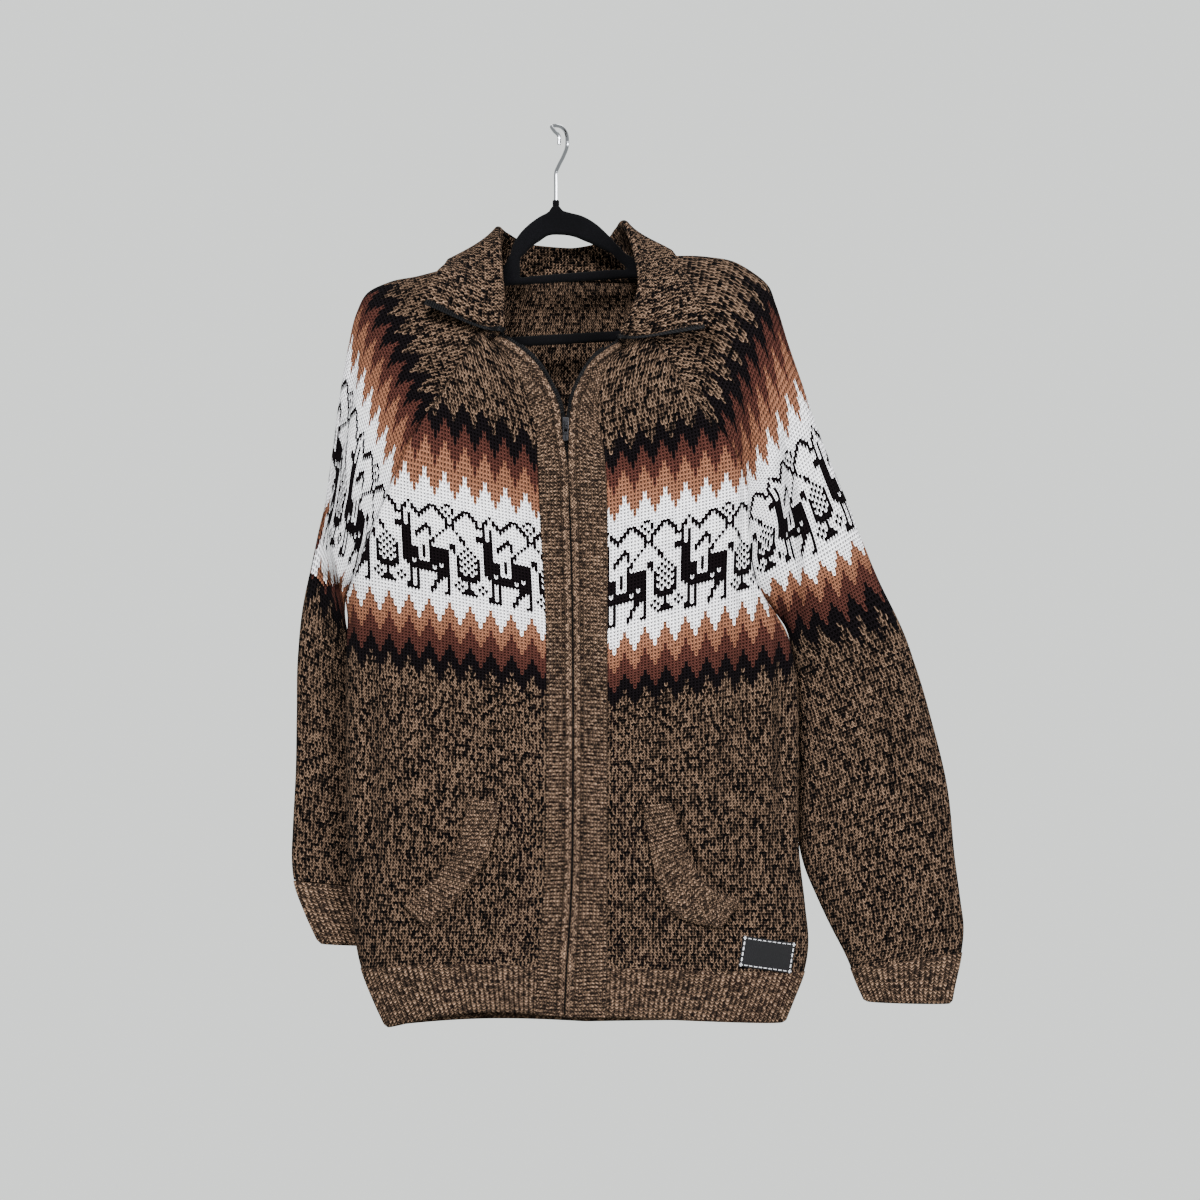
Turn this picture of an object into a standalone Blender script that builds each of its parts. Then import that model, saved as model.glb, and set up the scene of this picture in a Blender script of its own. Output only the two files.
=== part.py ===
"""A knitted raglan cardigan with a zip, hanging on a velvet hanger.

The model is in metres, +Z up, the cardigan's front towards -Y. The origin is the inside top of the
hanger's hook. The tables below are in millimetres: x to the right as seen from the front, drop
straight down from the origin, and y away from the viewer. A course is a knitted row, numbered by
its distance along the raglan seam and then down the side, so panels that meet at a seam share it.
"""

import math

import bmesh
import bpy
import numpy as np
from mathutils import Matrix, Vector
from mathutils.kdtree import KDTree

MM = 0.001

# Driving sizes, in millimetres.
CLOTH = 2.8  # thickness of the plain knit
RIB_CLOTH = 3.0  # thickness of the ribbed bands
RIB_RAISE = 0.9  # how far a rib stands proud
RIB_PITCH = 4.8  # one rib of the hem and the cuffs
SEAM_GAP = 0.3  # between two pieces that are sewn together
RIB_GAP = 0.9  # from a rib's edge to its seam
TAPE = 1.2  # thickness of the zip's tape
TAPE_WIDTH = 9.0
LAYER_GAP = 0.3  # between a panel and what lies on it
TAPE_GAP = 1.3
TRIM_GAP = 1.4
BODY_ROUND = 2.6  # superellipse power of the body's section

ARMPIT = 279.0  # the course where the raglan seam ends
WAIST_RIB = 628.0  # the course where the hem's rib starts
HEM_END = 686.0
CUFF_LEFT, CUFF_LEFT_END = 600.0, 660.0
CUFF_RIGHT, CUFF_RIGHT_END = 660.0, 709.0

# Columns: course, x, drop, y. The front raglan seams, from the neck down to the armpit.
RAGLAN_FRONT_LEFT = (
    (0, -71, 190, -37),
    (75, -116, 264, -36),
    (95, -128, 280, -35),
    (115, -139, 299, -34),
    (145, -152, 330, -33),
    (200, -173, 378, -29),
    (240, -187, 413, -21),
    (265, -196, 436, -10),
    (279, -201, 449, 0),
)
RAGLAN_FRONT_RIGHT = (
    (0, 88, 195, -38),
    (12, 95, 207, -39),
    (75, 142, 274, -38),
    (95, 158, 292, -37),
    (115, 170, 311, -36),
    (145, 179, 336, -34),
    (200, 182, 388, -29),
    (240, 187, 425, -20),
    (265, 198, 448, -9),
    (279, 207, 460, 0),
)
RAGLAN_BACK_LEFT = (
    (0, -52, 143, 32),
    (75, -92, 215, 36),
    (145, -128, 285, 37),
    (200, -158, 345, 33),
    (240, -180, 395, 24),
    (265, -194, 430, 11),
    (279, -201, 449, 0),
)
RAGLAN_BACK_RIGHT = (
    (0, 78, 145, 32),
    (75, 112, 215, 36),
    (145, 143, 285, 37),
    (200, 168, 345, 33),
    (240, 188, 398, 24),
    (265, 201, 438, 11),
    (279, 207, 460, 0),
)

# Columns: course, x, drop, y. The side seams of the body, from the armpit to the hem.
SIDE_LEFT = (
    (279, -201, 449, 0),
    (295, -199, 465, 0),
    (326, -200, 496, 0),
    (443, -201, 613, 0),
    (528, -198, 698, 0),
    (592, -193, 762, 0),
    (628, -186, 798, 0),
    (659, -174, 829, 0),
    (686, -162, 855, 0),
)
SIDE_RIGHT = (
    (279, 207, 460, 0),
    (295, 217, 477, 0),
    (326, 226, 510, 0),
    (400, 230, 590, 0),
    (500, 230, 682, 0),
    (560, 236, 740, 0),
    (600, 239, 775, 0),
    (628, 235, 801, 0),
    (659, 224, 830, 0),
    (686, 216, 850, 0),
)

# Columns: course, x, drop, y. Where each front panel meets its front band.
BAND_SIDE_LEFT = (
    (0, -62, 204, -43),
    (15, -44, 223, -44),
    (30, -33, 246, -44),
    (45, -27, 262, -44),
    (60, -22, 279, -44),
    (75, -19, 295, -44),
    (95, -18, 318, -45),
    (145, -16, 363, -46),
    (279, -10, 485, -47),
    (450, -10, 637, -45),
    (560, -13, 736, -42),
    (628, -18, 794, -39),
    (686, -20, 839, -35),
)
BAND_SIDE_RIGHT = (
    (0, 63, 210, -43),
    (15, 49, 225, -44),
    (30, 41, 250, -44),
    (45, 39, 268, -44),
    (60, 41, 286, -44),
    (75, 44, 304, -44),
    (95, 46, 322, -45),
    (145, 48, 366, -46),
    (279, 48, 500, -47),
    (450, 48, 640, -45),
    (560, 48, 738, -42),
    (628, 48, 795, -39),
    (686, 47, 842, -35),
)
# Columns: course, x, drop, y. The front bands' edges along the zip, open above course 60.
ZIP_EDGE_LEFT = (
    (0, -57, 198, -44),
    (15, -36, 211, -46),
    (30, -18, 228, -46),
    (45, -6, 248, -45),
    (60, 2, 266, -45),
    (75, 4.6, 288, -45),
    (95, 9, 316, -46),
    (145, 11, 362, -47),
    (279, 14, 485, -48),
    (450, 14, 637, -46),
    (560, 12, 735, -43),
    (628, 8, 797, -40),
    (686, 6, 841, -36),
)
ZIP_EDGE_RIGHT = (
    (0, 62, 204, -44),
    (15, 46, 214, -46),
    (30, 33, 225, -46),
    (45, 22, 243, -45),
    (60, 15, 263, -45),
    (75, 12.4, 288, -45),
    (95, 12, 317, -46),
    (145, 14, 363, -47),
    (279, 17, 497, -48),
    (450, 17, 638, -46),
    (560, 15, 737, -43),
    (628, 11, 797, -40),
    (686, 9, 842, -36),
)

# Columns: course, y at the middle of the back.
BACK_DEPTH = ((0, 41), (75, 45), (145, 47), (279, 48), (450, 45), (628, 39), (686, 35))

# Columns: course, x, drop, y. The sleeves' outer line: shoulder, then the outside of the arm.
ARM_OUTER_LEFT = (
    (0, -76, 129, 0),
    (20, -104, 134, 0),
    (45, -132, 141, 0),
    (75, -160, 147, 0),
    (95, -180, 157, 0),
    (115, -190, 175, 0),
    (145, -198, 207, 0),
    (173, -204, 240, 0),
    (200, -209, 273, 0),
    (228, -213, 305, 0),
    (258, -217.5, 338, 0),
    (279, -221, 361, 0),
    (296, -226, 382, 0),
    (313, -232, 415, 2),
    (330, -237, 441, 4),
    (380, -245, 500, 8),
    (437, -247, 558, 9),
    (494, -248, 612, 9),
    (551, -251, 667, 9),
    (580, -252, 695, 8),
    (600, -250, 716, 8),
    (630, -240, 745, 6),
    (660, -226, 776, 5),
)
ARM_OUTER_RIGHT = (
    (0, 84, 125, 0),
    (20, 108, 122, 0),
    (45, 145, 123, 0),
    (62, 172, 129, 0),
    (75, 196, 145, 0),
    (95, 208, 168, 0),
    (115, 219, 203, 0),
    (145, 236, 252, 0),
    (173, 248, 287, 0),
    (200, 260, 318, 0),
    (240, 278, 361, 0),
    (265, 289.5, 391, 0),
    (279, 294, 402, 0),
    (296, 300, 417, 0),
    (313, 308.5, 436, 0),
    (330, 322, 463, 1),
    (380, 341, 512, 3),
    (437, 356, 562, 5),
    (499, 371, 624, 6),
    (573, 379, 698, 6),
    (610, 384, 735, 6),
    (635, 387, 760, 6),
    (665, 384, 789, 6),
    (692, 378, 817, 6),
    (709, 375, 833, 6),
)
# Columns: course, x, drop, y. The underarm lines, tucked behind the body's side.
ARM_INNER_LEFT = (
    (279, -201, 449, 0),
    (296, -202, 466, 13),
    (313, -201, 482, 26),
    (330, -195, 498, 38),
    (380, -168, 545, 58),
    (437, -152, 590, 62),
    (494, -148, 642, 64),
    (551, -148, 690, 64),
    (600, -148, 730, 62),
    (630, -142, 756, 60),
    (660, -136, 783, 56),
)
ARM_INNER_RIGHT = (
    (279, 207, 460, 0),
    (296, 218, 476, 11),
    (313, 223, 494, 20),
    (330, 225, 511, 26),
    (380, 226, 560, 30),
    (437, 227, 610, 30),
    (499, 229, 668, 28),
    (545, 237, 706, 24),
    (573, 247, 730, 20),
    (610, 262, 762, 16),
    (635, 273, 783, 15),
    (692, 288, 819, 14),
    (709, 294, 832, 14),
)
# Columns: course, how far the sleeve's front and its back stand out from the line across it.
ARM_BULGE_LEFT = (
    (0, 38, 34),
    (75, 37, 37),
    (145, 35, 38),
    (200, 33, 35),
    (279, 27, 30),
    (330, 15, 26),
    (437, 14, 24),
    (551, 13, 22),
    (600, 11, 18),
    (660, 8, 13),
)
ARM_BULGE_RIGHT = (
    (0, 40, 34),
    (75, 38, 37),
    (145, 36, 38),
    (200, 33, 35),
    (279, 28, 30),
    (330, 24, 27),
    (437, 24, 26),
    (573, 23, 24),
    (660, 18, 19),
    (709, 13, 14),
)

# Columns: share of the way round from the left front to the right front, then x, drop, y of the
# roll line and of the collar's outer edge. The neck seam is the panels' own upper edge.
COLLAR = (
    (0.00, -52, 195, -57, -130, 167, -61),
    (0.07, -50, 181, -60, -123, 156, -57),
    (0.13, -50, 161, -57, -115, 142, -46),
    (0.21, -52, 128, -40, -107, 131, -26),
    (0.31, -54, 95, -8, -103, 126, 0),
    (0.38, -47, 99, 14, -92, 132, 26),
    (0.44, -26, 108, 33, -56, 146, 52),
    (0.50, 13, 111, 41, 13, 152, 61),
    (0.56, 44, 105, 35, 76, 146, 53),
    (0.62, 56, 94, 17, 98, 124, 29),
    (0.69, 62, 89, -7, 108, 116, 0),
    (0.79, 75, 120, -38, 122, 138, -28),
    (0.87, 79, 149, -56, 134, 158, -48),
    (0.93, 72, 178, -63, 142, 175, -60),
    (1.00, 60, 202, -58, 146, 192, -66),
)
# Columns: share of the way round, then the piece that the neck seam runs along up to there.
NECK_PIECES = (
    (0.05, "band", -1, 0, 1),
    (0.13, "front", -1, 0, 1),
    (0.31, "sleeve", -1, 0, 0.5),
    (0.44, "sleeve", -1, 0.5, 1),
    (0.56, "back", 0, 0, 1),
    (0.69, "sleeve", 1, 1, 0.5),
    (0.87, "sleeve", 1, 0.5, 0),
    (0.95, "front", 1, 1, 0),
    (1.00, "band", 1, 1, 0),
)
NECK_GAP = 1.0
ROLL_RADIUS = 3.6

# Columns: x and drop of one end, x and drop of the other, half width, depth of a soft fold.
# A depth above 0 is a trough and one below 0 a ridge.
FRONT_FOLDS = (
    (182, 236, 180, 440, 10, 5),
    (196, 250, 194, 440, 9, -3),
    (218, 285, 224, 440, 9, 9),
    (234, 330, 232, 455, 10, -4),
    (213, 500, 214, 690, 9, 5),
    (199, 480, 198, 660, 8, -4),
    (184, 470, 178, 745, 9, 4),
    (150, 520, 146, 640, 14, -2),
    (92, 660, 100, 770, 12, 4),
    (-190, 215, -214, 352, 7, 5),
    (-203, 330, -224, 400, 8, 6),
    (-176, 480, -183, 790, 9, 3),
    (-120, 480, -112, 700, 18, -2),
    (-66, 520, -70, 780, 20, 2),
)
BACK_FOLDS = (
    (-150, 300, -140, 760, 16, 4),
    (-60, 240, -80, 800, 24, -4),
    (30, 300, 26, 800, 20, 3),
    (110, 260, 132, 800, 22, -4),
    (182, 500, 192, 780, 14, 5),
)
FOLD_FADE = 24.0  # the depth over which the front's folds fade towards the side
HEM_LIFT_LEFT = 8.0  # the left front's hem rises in the middle

# Columns: x and drop of the pocket's open edge, then of the trim's sewn edge.
POCKET_LEFT = (
    (-83, 636, -53, 639),
    (-88, 662, -56, 662),
    (-96, 685, -64, 689),
    (-108, 703, -79, 712),
    (-126, 720, -99, 737),
    (-144, 737, -123, 757),
)
POCKET_RIGHT = (
    (108, 639, 81, 642),
    (112, 658, 84, 664),
    (118, 677, 89, 690),
    (128, 699, 98, 724),
    (143, 719, 116, 748),
    (173, 732, 155, 758),
)
POCKET_GAPE_LEFT, POCKET_GAPE_RIGHT = 1.0, 4.0  # how far the open edge stands off the panel

LABEL_CENTRE = (198, 783)
LABEL_SIZE = (50, 29)
LABEL_TURN = 9.0  # degrees
LABEL_CLOTH = 1.0

SLIDER_X, SLIDER_TOP, SLIDER_END = 8.5, 277.0, 289.0
SLIDER_WIDTH, SLIDER_BODY = 6.2, 3.0
SLIDER_FRONT = -46.6
TAB_PIVOT = (8.5, 284.0, -48.1)  # x, drop, y
TAB_END = 299.5
TAB_WIDTH, TAB_BAR, TAB_WINDOW = 5.4, 1.1, 7.0

# Columns: x, drop. The hanger's outline and its two windows.
HANGER_OUTLINE = (
    (-4, 74.5),
    (-7, 79),
    (-17, 85),
    (-26, 91.5),
    (-35, 100.5),
    (-41, 110),
    (-45, 122),
    (-54, 134),
    (-76, 140),
    (-104, 143),
    (-132, 148),
    (-158, 156),
    (-172, 164),
    (-179, 176),
    (-178, 192),
    (-168, 208),
    (-150, 214.5),
    (165, 197),
    (180, 190),
    (191, 174),
    (192, 160),
    (184, 148),
    (168, 137),
    (144, 130.5),
    (108, 130),
    (86, 131),
    (75, 124.5),
    (65, 119.5),
    (57, 111),
    (48, 101.5),
    (37, 91.5),
    (24, 84),
    (11, 80.5),
    (5, 78.5),
    (2, 74.5),
)
HANGER_UPPER_WINDOW = (
    (-35, 142),
    (-35, 125),
    (-24, 113),
    (-9, 103),
    (5, 102),
    (17, 104),
    (34, 111),
    (52, 120),
    (66, 134),
)
HANGER_LOWER_WINDOW = (
    (-46, 150),
    (-104, 161),
    (-140, 170),
    (-160, 178),
    (-164, 190),
    (-160, 200),
    (-148, 205),
    (150, 188),
    (168, 182),
    (176, 172),
    (176, 161),
    (164, 154),
    (140, 147),
    (104, 146),
    (72, 143),
)
HANGER_THICK = 9.0
HANGER_EDGE = 2.6

WIRE_RADIUS = 1.75
HANGER_NECK = (69.0, 74.2, 3.2)  # top, bottom, outer radius
# Columns: x, drop, y of the hook's wire, from the neck over the top to the tip. The hook is
# swivelled, so its opening faces sideways.
HOOK = (
    (-1, 73.8, 0),
    (-1, 58, 0),
    (-1, 44, 0),
    (1.5, 36, 4),
    (6.5, 25, 12),
    (9.5, 15, 17),
    (9, 5, 14),
    (5, -0.6, 7),
    (0, -1.75, 0),
    (-5, -0.2, -7),
    (-2.5, 4.5, -13),
    (2, 10, -17),
    (2.2, 18, -18.5),
)
HOOK_STEPS = 60


class Track:
    """A smooth curve through a table whose first column is the key."""

    def __init__(self, rows):
        table = np.array(rows, float)
        self.key, self.value = table[:, 0], table[:, 1:]
        step = np.diff(self.key)[:, None]
        slope = np.diff(self.value, axis=0) / step
        inner = (slope[:-1] * step[1:] + slope[1:] * step[:-1]) / (step[:-1] + step[1:])
        inner[slope[:-1] * slope[1:] <= 0] *= 0.5
        self.tangent = np.vstack([slope[:1], inner, slope[-1:]])

    def __call__(self, at):
        at = min(max(at, self.key[0]), self.key[-1])
        i = min(int(np.searchsorted(self.key, at, "right")) - 1, len(self.key) - 2)
        h = self.key[i + 1] - self.key[i]
        t = (at - self.key[i]) / h
        a, b = self.value[i], self.value[i + 1]
        va, vb = self.tangent[i] * h, self.tangent[i + 1] * h
        return (
            a * (1 + 2 * t) * (1 - t) ** 2
            + va * t * (1 - t) ** 2
            + b * t * t * (3 - 2 * t)
            + vb * t * t * (t - 1)
        )


def folds_at(x, drop, folds):
    """How deep the soft folds are at a place on a panel."""
    depth = 0.0
    for x0, drop0, x1, drop1, width, deep in folds:
        along = (drop - drop0) / (drop1 - drop0)
        if -0.15 < along < 1.15:
            fade = math.sin(math.pi * (along + 0.15) / 1.3)
            off = (x - x0 - (x1 - x0) * along) / width
            depth += deep * fade * math.exp(-off * off)
    return depth


def front_fold(x, drop, y):
    """The fold's depth on the front, which fades out where the front turns to the side."""
    return folds_at(x, drop, FRONT_FOLDS) * smooth_step(-y / FOLD_FADE)


def smooth_step(t):
    t = min(max(t, 0.0), 1.0)
    return t * t * (3 - 2 * t)


class Body:
    """The shapes of one side of the garment, -1 for the left in the picture and 1 for the right."""

    def __init__(self, side):
        left = side < 0
        self.side = side
        self.raglan_front = Track(RAGLAN_FRONT_LEFT if left else RAGLAN_FRONT_RIGHT)
        self.raglan_back = Track(RAGLAN_BACK_LEFT if left else RAGLAN_BACK_RIGHT)
        self.seam = Track(SIDE_LEFT if left else SIDE_RIGHT)
        self.band_side = Track(BAND_SIDE_LEFT if left else BAND_SIDE_RIGHT)
        self.zip_edge = Track(ZIP_EDGE_LEFT if left else ZIP_EDGE_RIGHT)
        self.outer = Track(ARM_OUTER_LEFT if left else ARM_OUTER_RIGHT)
        self.inner = Track(ARM_INNER_LEFT if left else ARM_INNER_RIGHT)
        self.bulge = Track(ARM_BULGE_LEFT if left else ARM_BULGE_RIGHT)
        self.lift = HEM_LIFT_LEFT if left else 0.0

    def front(self, course, share):
        """A point of the front panel, share 0 at the band and 1 at the raglan or side seam."""
        start = self.band_side(course)
        end = self.raglan_front(course) if course < ARMPIT else self.seam(course)
        turn = share * math.pi / 2
        across = math.sin(turn) ** (2 / BODY_ROUND)
        deep = math.cos(turn) ** (2 / BODY_ROUND)
        x, drop, _ = start + (end - start) * across
        drop -= self.lift * math.sin(math.pi * across) * smooth_step((course - 560) / 126)
        y = end[2] + (start[2] - end[2]) * deep
        y += front_fold(x, drop, y) * min(1.0, 4 * across)
        return Vector((x, y, -drop))

    def band(self, course, share):
        """A point of the front band, share 0 at the zip and 1 at the panel."""
        a, b = self.zip_edge(course), self.band_side(course)
        x, drop, y = a + (b - a) * share
        return Vector((x, y - 0.8 * math.sin(math.pi * share), -drop))

    def on_front(self, x, drop):
        """The front panel's point at a place, and its outward normal."""
        course, share = drop - 170.0, 0.5
        for _ in range(30):
            start = self.band_side(course)
            end = self.raglan_front(course) if course < ARMPIT else self.seam(course)
            across = min(max((x - start[0]) / (end[0] - start[0]), 0.0), 0.999)
            share = math.asin(across ** (BODY_ROUND / 2)) * 2 / math.pi
            miss = drop + self.front(course, share).z
            course = min(max(course + 0.8 * miss, 0.0), HEM_END)
            if abs(miss) < 0.005:
                break
        here = self.front(course, share)
        along = self.front(course + 2, share) - self.front(course - 2, share)
        over = self.front(course, min(share + 0.02, 1)) - self.front(course, max(share - 0.02, 0))
        normal = along.cross(over).normalized()
        return here, normal if normal.y < 0 else -normal

    def sleeve(self, course, share):
        """A point of the sleeve, share 0 at its front seam, 0.5 on the outside, 1 at the back."""
        outer, bulge = self.outer(course), self.bulge(course)
        if course < ARMPIT:
            seams = self.raglan_front(course), self.raglan_back(course)
        else:
            seams = self.inner(course), self.inner(course)
        behind = share > 0.5
        seam = seams[behind]
        reach = bulge[int(behind)]
        start = math.asin(min(1.0, abs(seam[2]) / reach)) if course < ARMPIT else 0.0
        turn = start + (math.pi - start) * (2 * (1 - share) if behind else 2 * share)
        across = (math.cos(start) - math.cos(turn)) / (math.cos(start) + 1)
        stand = reach * (math.sin(turn) - math.sin(start) * (1 - across))
        x, drop, y = seam + (outer - seam) * across
        line = outer - (seams[0] + seams[1]) / 2
        away = Vector((-line[2] * self.side, line[0] * self.side)).normalized()
        away = away.lerp(Vector((0, 1)), 1 - smooth_step((course - 250) / 120)).normalized()
        stand = stand if behind else -stand
        x += away.x * stand
        y += away.y * stand
        if not behind:
            y += front_fold(x, drop, y)
        return Vector((x, y, -drop))


def back_point(left, right, depth, course, share):
    """A point of the back, share 0 at the left seam and 1 at the right one."""
    if course < ARMPIT:
        a, b = left.raglan_back(course), right.raglan_back(course)
    else:
        a, b = left.seam(course), right.seam(course)
    turn = (share - 0.5) * math.pi
    across = math.copysign(abs(math.sin(turn)) ** (2 / BODY_ROUND), turn)
    deep = max(math.cos(turn), 0.0) ** (2 / BODY_ROUND)
    x, drop, edge = a + (b - a) * (across + 1) / 2
    y = edge + (depth(course)[0] - edge) * deep
    drop -= left.lift * max(-math.sin(math.pi * across), 0) * 0.5 * smooth_step((course - 560) / 126)
    return Vector((x, y - folds_at(x, drop, BACK_FOLDS) * smooth_step(y / FOLD_FADE), -drop))


class Collar:
    """The fold-over collar, from the left front round the neck to the right front."""

    def __init__(self, left, right, depth):
        self.track = Track(COLLAR)
        self.bodies = {-1: left, 1: right}
        self.depth = depth

    def neck(self, course, share):
        """A point near the neck seam: share goes round it, course down from it."""
        first = 0.0
        for last, piece, side, start, end in NECK_PIECES:
            if share <= last:
                break
            first = last
        at = start + (end - start) * (share - first) / (last - first)
        if piece == "back":
            return back_point(self.bodies[-1], self.bodies[1], self.depth, course, at)
        return getattr(self.bodies[side], piece)(course, at)

    def point(self, up, share):
        """A point of the collar: up is 0 at the neck seam and 1 at the outer edge."""
        row = self.track(share)
        roll, edge = (Vector((row[i], row[i + 2], -row[i + 1])) for i in (0, 3))
        seam = self.neck(0, share)
        seam += (seam - self.neck(6, share)).normalized() * NECK_GAP
        rise = (roll - seam).normalized()
        fall = (edge - roll).normalized()
        out = (fall - rise * fall.dot(rise)).normalized()
        radius = min(ROLL_RADIUS, (roll - seam).length * 0.4)
        centre = roll - rise * radius
        if up < 0.3:
            return seam.lerp(centre - out * radius, up / 0.3)
        if up < 0.55:
            turn = math.pi * (up - 0.3) / 0.25
            return centre + (rise * math.sin(turn) - out * math.cos(turn)) * radius
        t = (up - 0.55) / 0.45
        first = centre + out * radius
        pull = (edge - first).length * 0.35
        second = first - rise * pull * 0.6 + fall * pull * 0.4
        third = edge - fall * pull
        return (
            first * (1 - t) ** 3
            + second * 3 * t * (1 - t) ** 2
            + third * 3 * t * t * (1 - t)
            + edge * t**3
        )


class Wall:
    """A sheet of cloth on a grid, which becomes a closed wall with its thickness inwards."""

    def __init__(self, name, point, columns, rows, cloth, outside, colour, raise_by=None, tube=None,
                 gap=SEAM_GAP * 0.8):
        self.name, self.cloth, self.colour = name, cloth, colour
        self.bm = bmesh.new()
        bmesh.ops.create_grid(self.bm, x_segments=len(columns) - 1, y_segments=len(rows) - 1, size=0.5)
        self.raised = {}
        for vert in self.bm.verts:
            column = round((vert.co.x + 0.5) * (len(columns) - 1))
            row = round((vert.co.y + 0.5) * (len(rows) - 1))
            vert.co = point(rows[row], columns[column])
            if raise_by:
                self.raised[vert.index] = raise_by(rows[row], columns[column], column)
        self.bm.verts.ensure_lookup_table()
        index = self.bm.verts.layers.float.new("raise")
        for number, height in self.raised.items():
            self.bm.verts[number][index] = height
        if tube is not None:
            self.close_tube(tube)
        bmesh.ops.recalc_face_normals(self.bm, faces=self.bm.faces)
        middle = max(self.bm.faces, key=lambda f: f.calc_area())
        if middle.normal.dot(outside(middle.calc_center_median())) < 0:
            bmesh.ops.reverse_faces(self.bm, faces=self.bm.faces)
        self.pull_back(gap)
        self.bm.normal_update()
        self.normals = {v: v.normal.copy() for v in self.bm.verts}

    def close_tube(self, near):
        """Joins the two edges of a tube where they lie together."""
        edge = [v for v in self.bm.verts if v.is_boundary]
        bmesh.ops.remove_doubles(self.bm, verts=edge, dist=near)
        self.bm.verts.index_update()
        self.bm.verts.ensure_lookup_table()

    def pull_back(self, gap):
        """Draws the edges in by half of a seam's gap."""
        moves = {}
        for vert in self.bm.verts:
            rims = [e.other_vert(vert).co - vert.co for e in vert.link_edges if e.is_boundary]
            if len(rims) == 2 and len(vert.link_faces) == 1:
                moves[vert] = (rims[0].normalized() + rims[1].normalized()) * gap
            elif rims:
                inward = sum((f.calc_center_median() - vert.co for f in vert.link_faces), Vector())
                line = (rims[0] - rims[1]).normalized()
                inward -= line * inward.dot(line)
                moves[vert] = inward.normalized() * gap
        for vert, move in moves.items():
            vert.co += move

    def finish(self):
        """Gives the sheet its thickness and makes the object."""
        bm = self.bm
        layer = bm.verts.layers.float.get("raise")
        outer = list(bm.verts)
        rim = [e for e in bm.edges if e.is_boundary]
        faces = list(bm.faces)
        copy = bmesh.ops.duplicate(bm, geom=outer + list(bm.edges) + faces)
        inner = copy["vert_map"]
        bmesh.ops.reverse_faces(bm, faces=[g for g in copy["geom"] if isinstance(g, bmesh.types.BMFace)])
        for vert in outer:
            normal = self.normals[vert]
            inner[vert].co = vert.co - normal * self.cloth
            vert.co += normal * vert[layer]
        for edge in rim:
            a, b = edge.verts
            bm.faces.new((b, a, inner[a], inner[b]) if first_in_face(edge, a) else (a, b, inner[b], inner[a]))
        bmesh.ops.recalc_face_normals(bm, faces=bm.faces)
        bmesh.ops.triangulate(bm, faces=bm.faces)
        bmesh.ops.scale(bm, vec=(MM, MM, MM), verts=bm.verts)
        return new_object(self.name, bm, self.colour)


def first_in_face(edge, vert):
    """Whether the edge's one face runs through it starting at this point."""
    loop = edge.link_loops[0]
    return loop.vert == vert


def share_normals(walls):
    """Gives two pieces one thickness direction along the seam where they meet."""
    ends = [(w, v) for w in walls for v in w.bm.verts if v.is_boundary]
    tree = KDTree(len(ends))
    for number, (_, vert) in enumerate(ends):
        tree.insert(vert.co, number)
    tree.balance()
    shared = []
    for wall, vert in ends:
        near = [ends[n] for _, n, _ in tree.find_range(vert.co, 1.5)]
        others = [w.normals[v] for w, v in near]
        total = sum(others, Vector())
        mine = wall.normals[vert]
        if len(others) > 1 and total.length > 0.3 and total.normalized().dot(mine) > 0.3:
            shared.append((wall, vert, total.normalized()))
    for wall, vert, normal in shared:
        wall.normals[vert] = normal


MATERIALS = {
    "marl": ((0.14, 0.09, 0.065), 0.95, 0.0),
    "patterned": ((0.34, 0.22, 0.17), 0.95, 0.0),
    "tape": ((0.012, 0.012, 0.014), 0.8, 0.0),
    "label": ((0.02, 0.02, 0.024), 0.7, 0.0),
    "velvet": ((0.008, 0.009, 0.012), 0.95, 0.0),
    "metal": ((0.04, 0.04, 0.042), 0.3, 1.0),
    "chrome": ((0.75, 0.76, 0.78), 0.12, 1.0),
}


def material(name):
    found = bpy.data.materials.get(name)
    if found:
        return found
    colour, rough, metal = MATERIALS[name]
    made = bpy.data.materials.new(name)
    made.use_nodes = True
    shader = made.node_tree.nodes["Principled BSDF"]
    shader.inputs["Base Color"].default_value = (*colour, 1)
    shader.inputs["Roughness"].default_value = rough
    shader.inputs["Metallic"].default_value = metal
    return made


def new_object(name, bm, finish, smooth=True):
    mesh = bpy.data.meshes.new(name)
    bm.to_mesh(mesh)
    bm.free()
    if smooth:
        mesh.shade_smooth()
        mesh.set_sharp_from_angle(angle=math.radians(40))
    made = bpy.data.objects.new(name, mesh)
    made.data.materials.append(material(finish))
    bpy.context.collection.objects.link(made)
    return made


def spread(start, end, steps):
    return [start + (end - start) * i / steps for i in range(steps + 1)]


def facing(x, y, z):
    return lambda _: Vector((x, y, z))


def rib(columns):
    """Raises every second column, but not the piece's two ends."""
    return lambda _row, _share, column: RIB_RAISE if column % 2 and column < len(columns) - 1 else 0.0


def ribs_across(length):
    return spread(0, 1, 2 * round(length / RIB_PITCH))


YOKE_ROWS = [*spread(0, 75, 4), *spread(75, 240, 8)[1:], 253, 265, 273, ARMPIT]
SKIRT_ROWS = [ARMPIT, 287, 300, *spread(326, WAIST_RIB, 8)]
HEM_ROWS = [WAIST_RIB, HEM_END]


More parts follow.
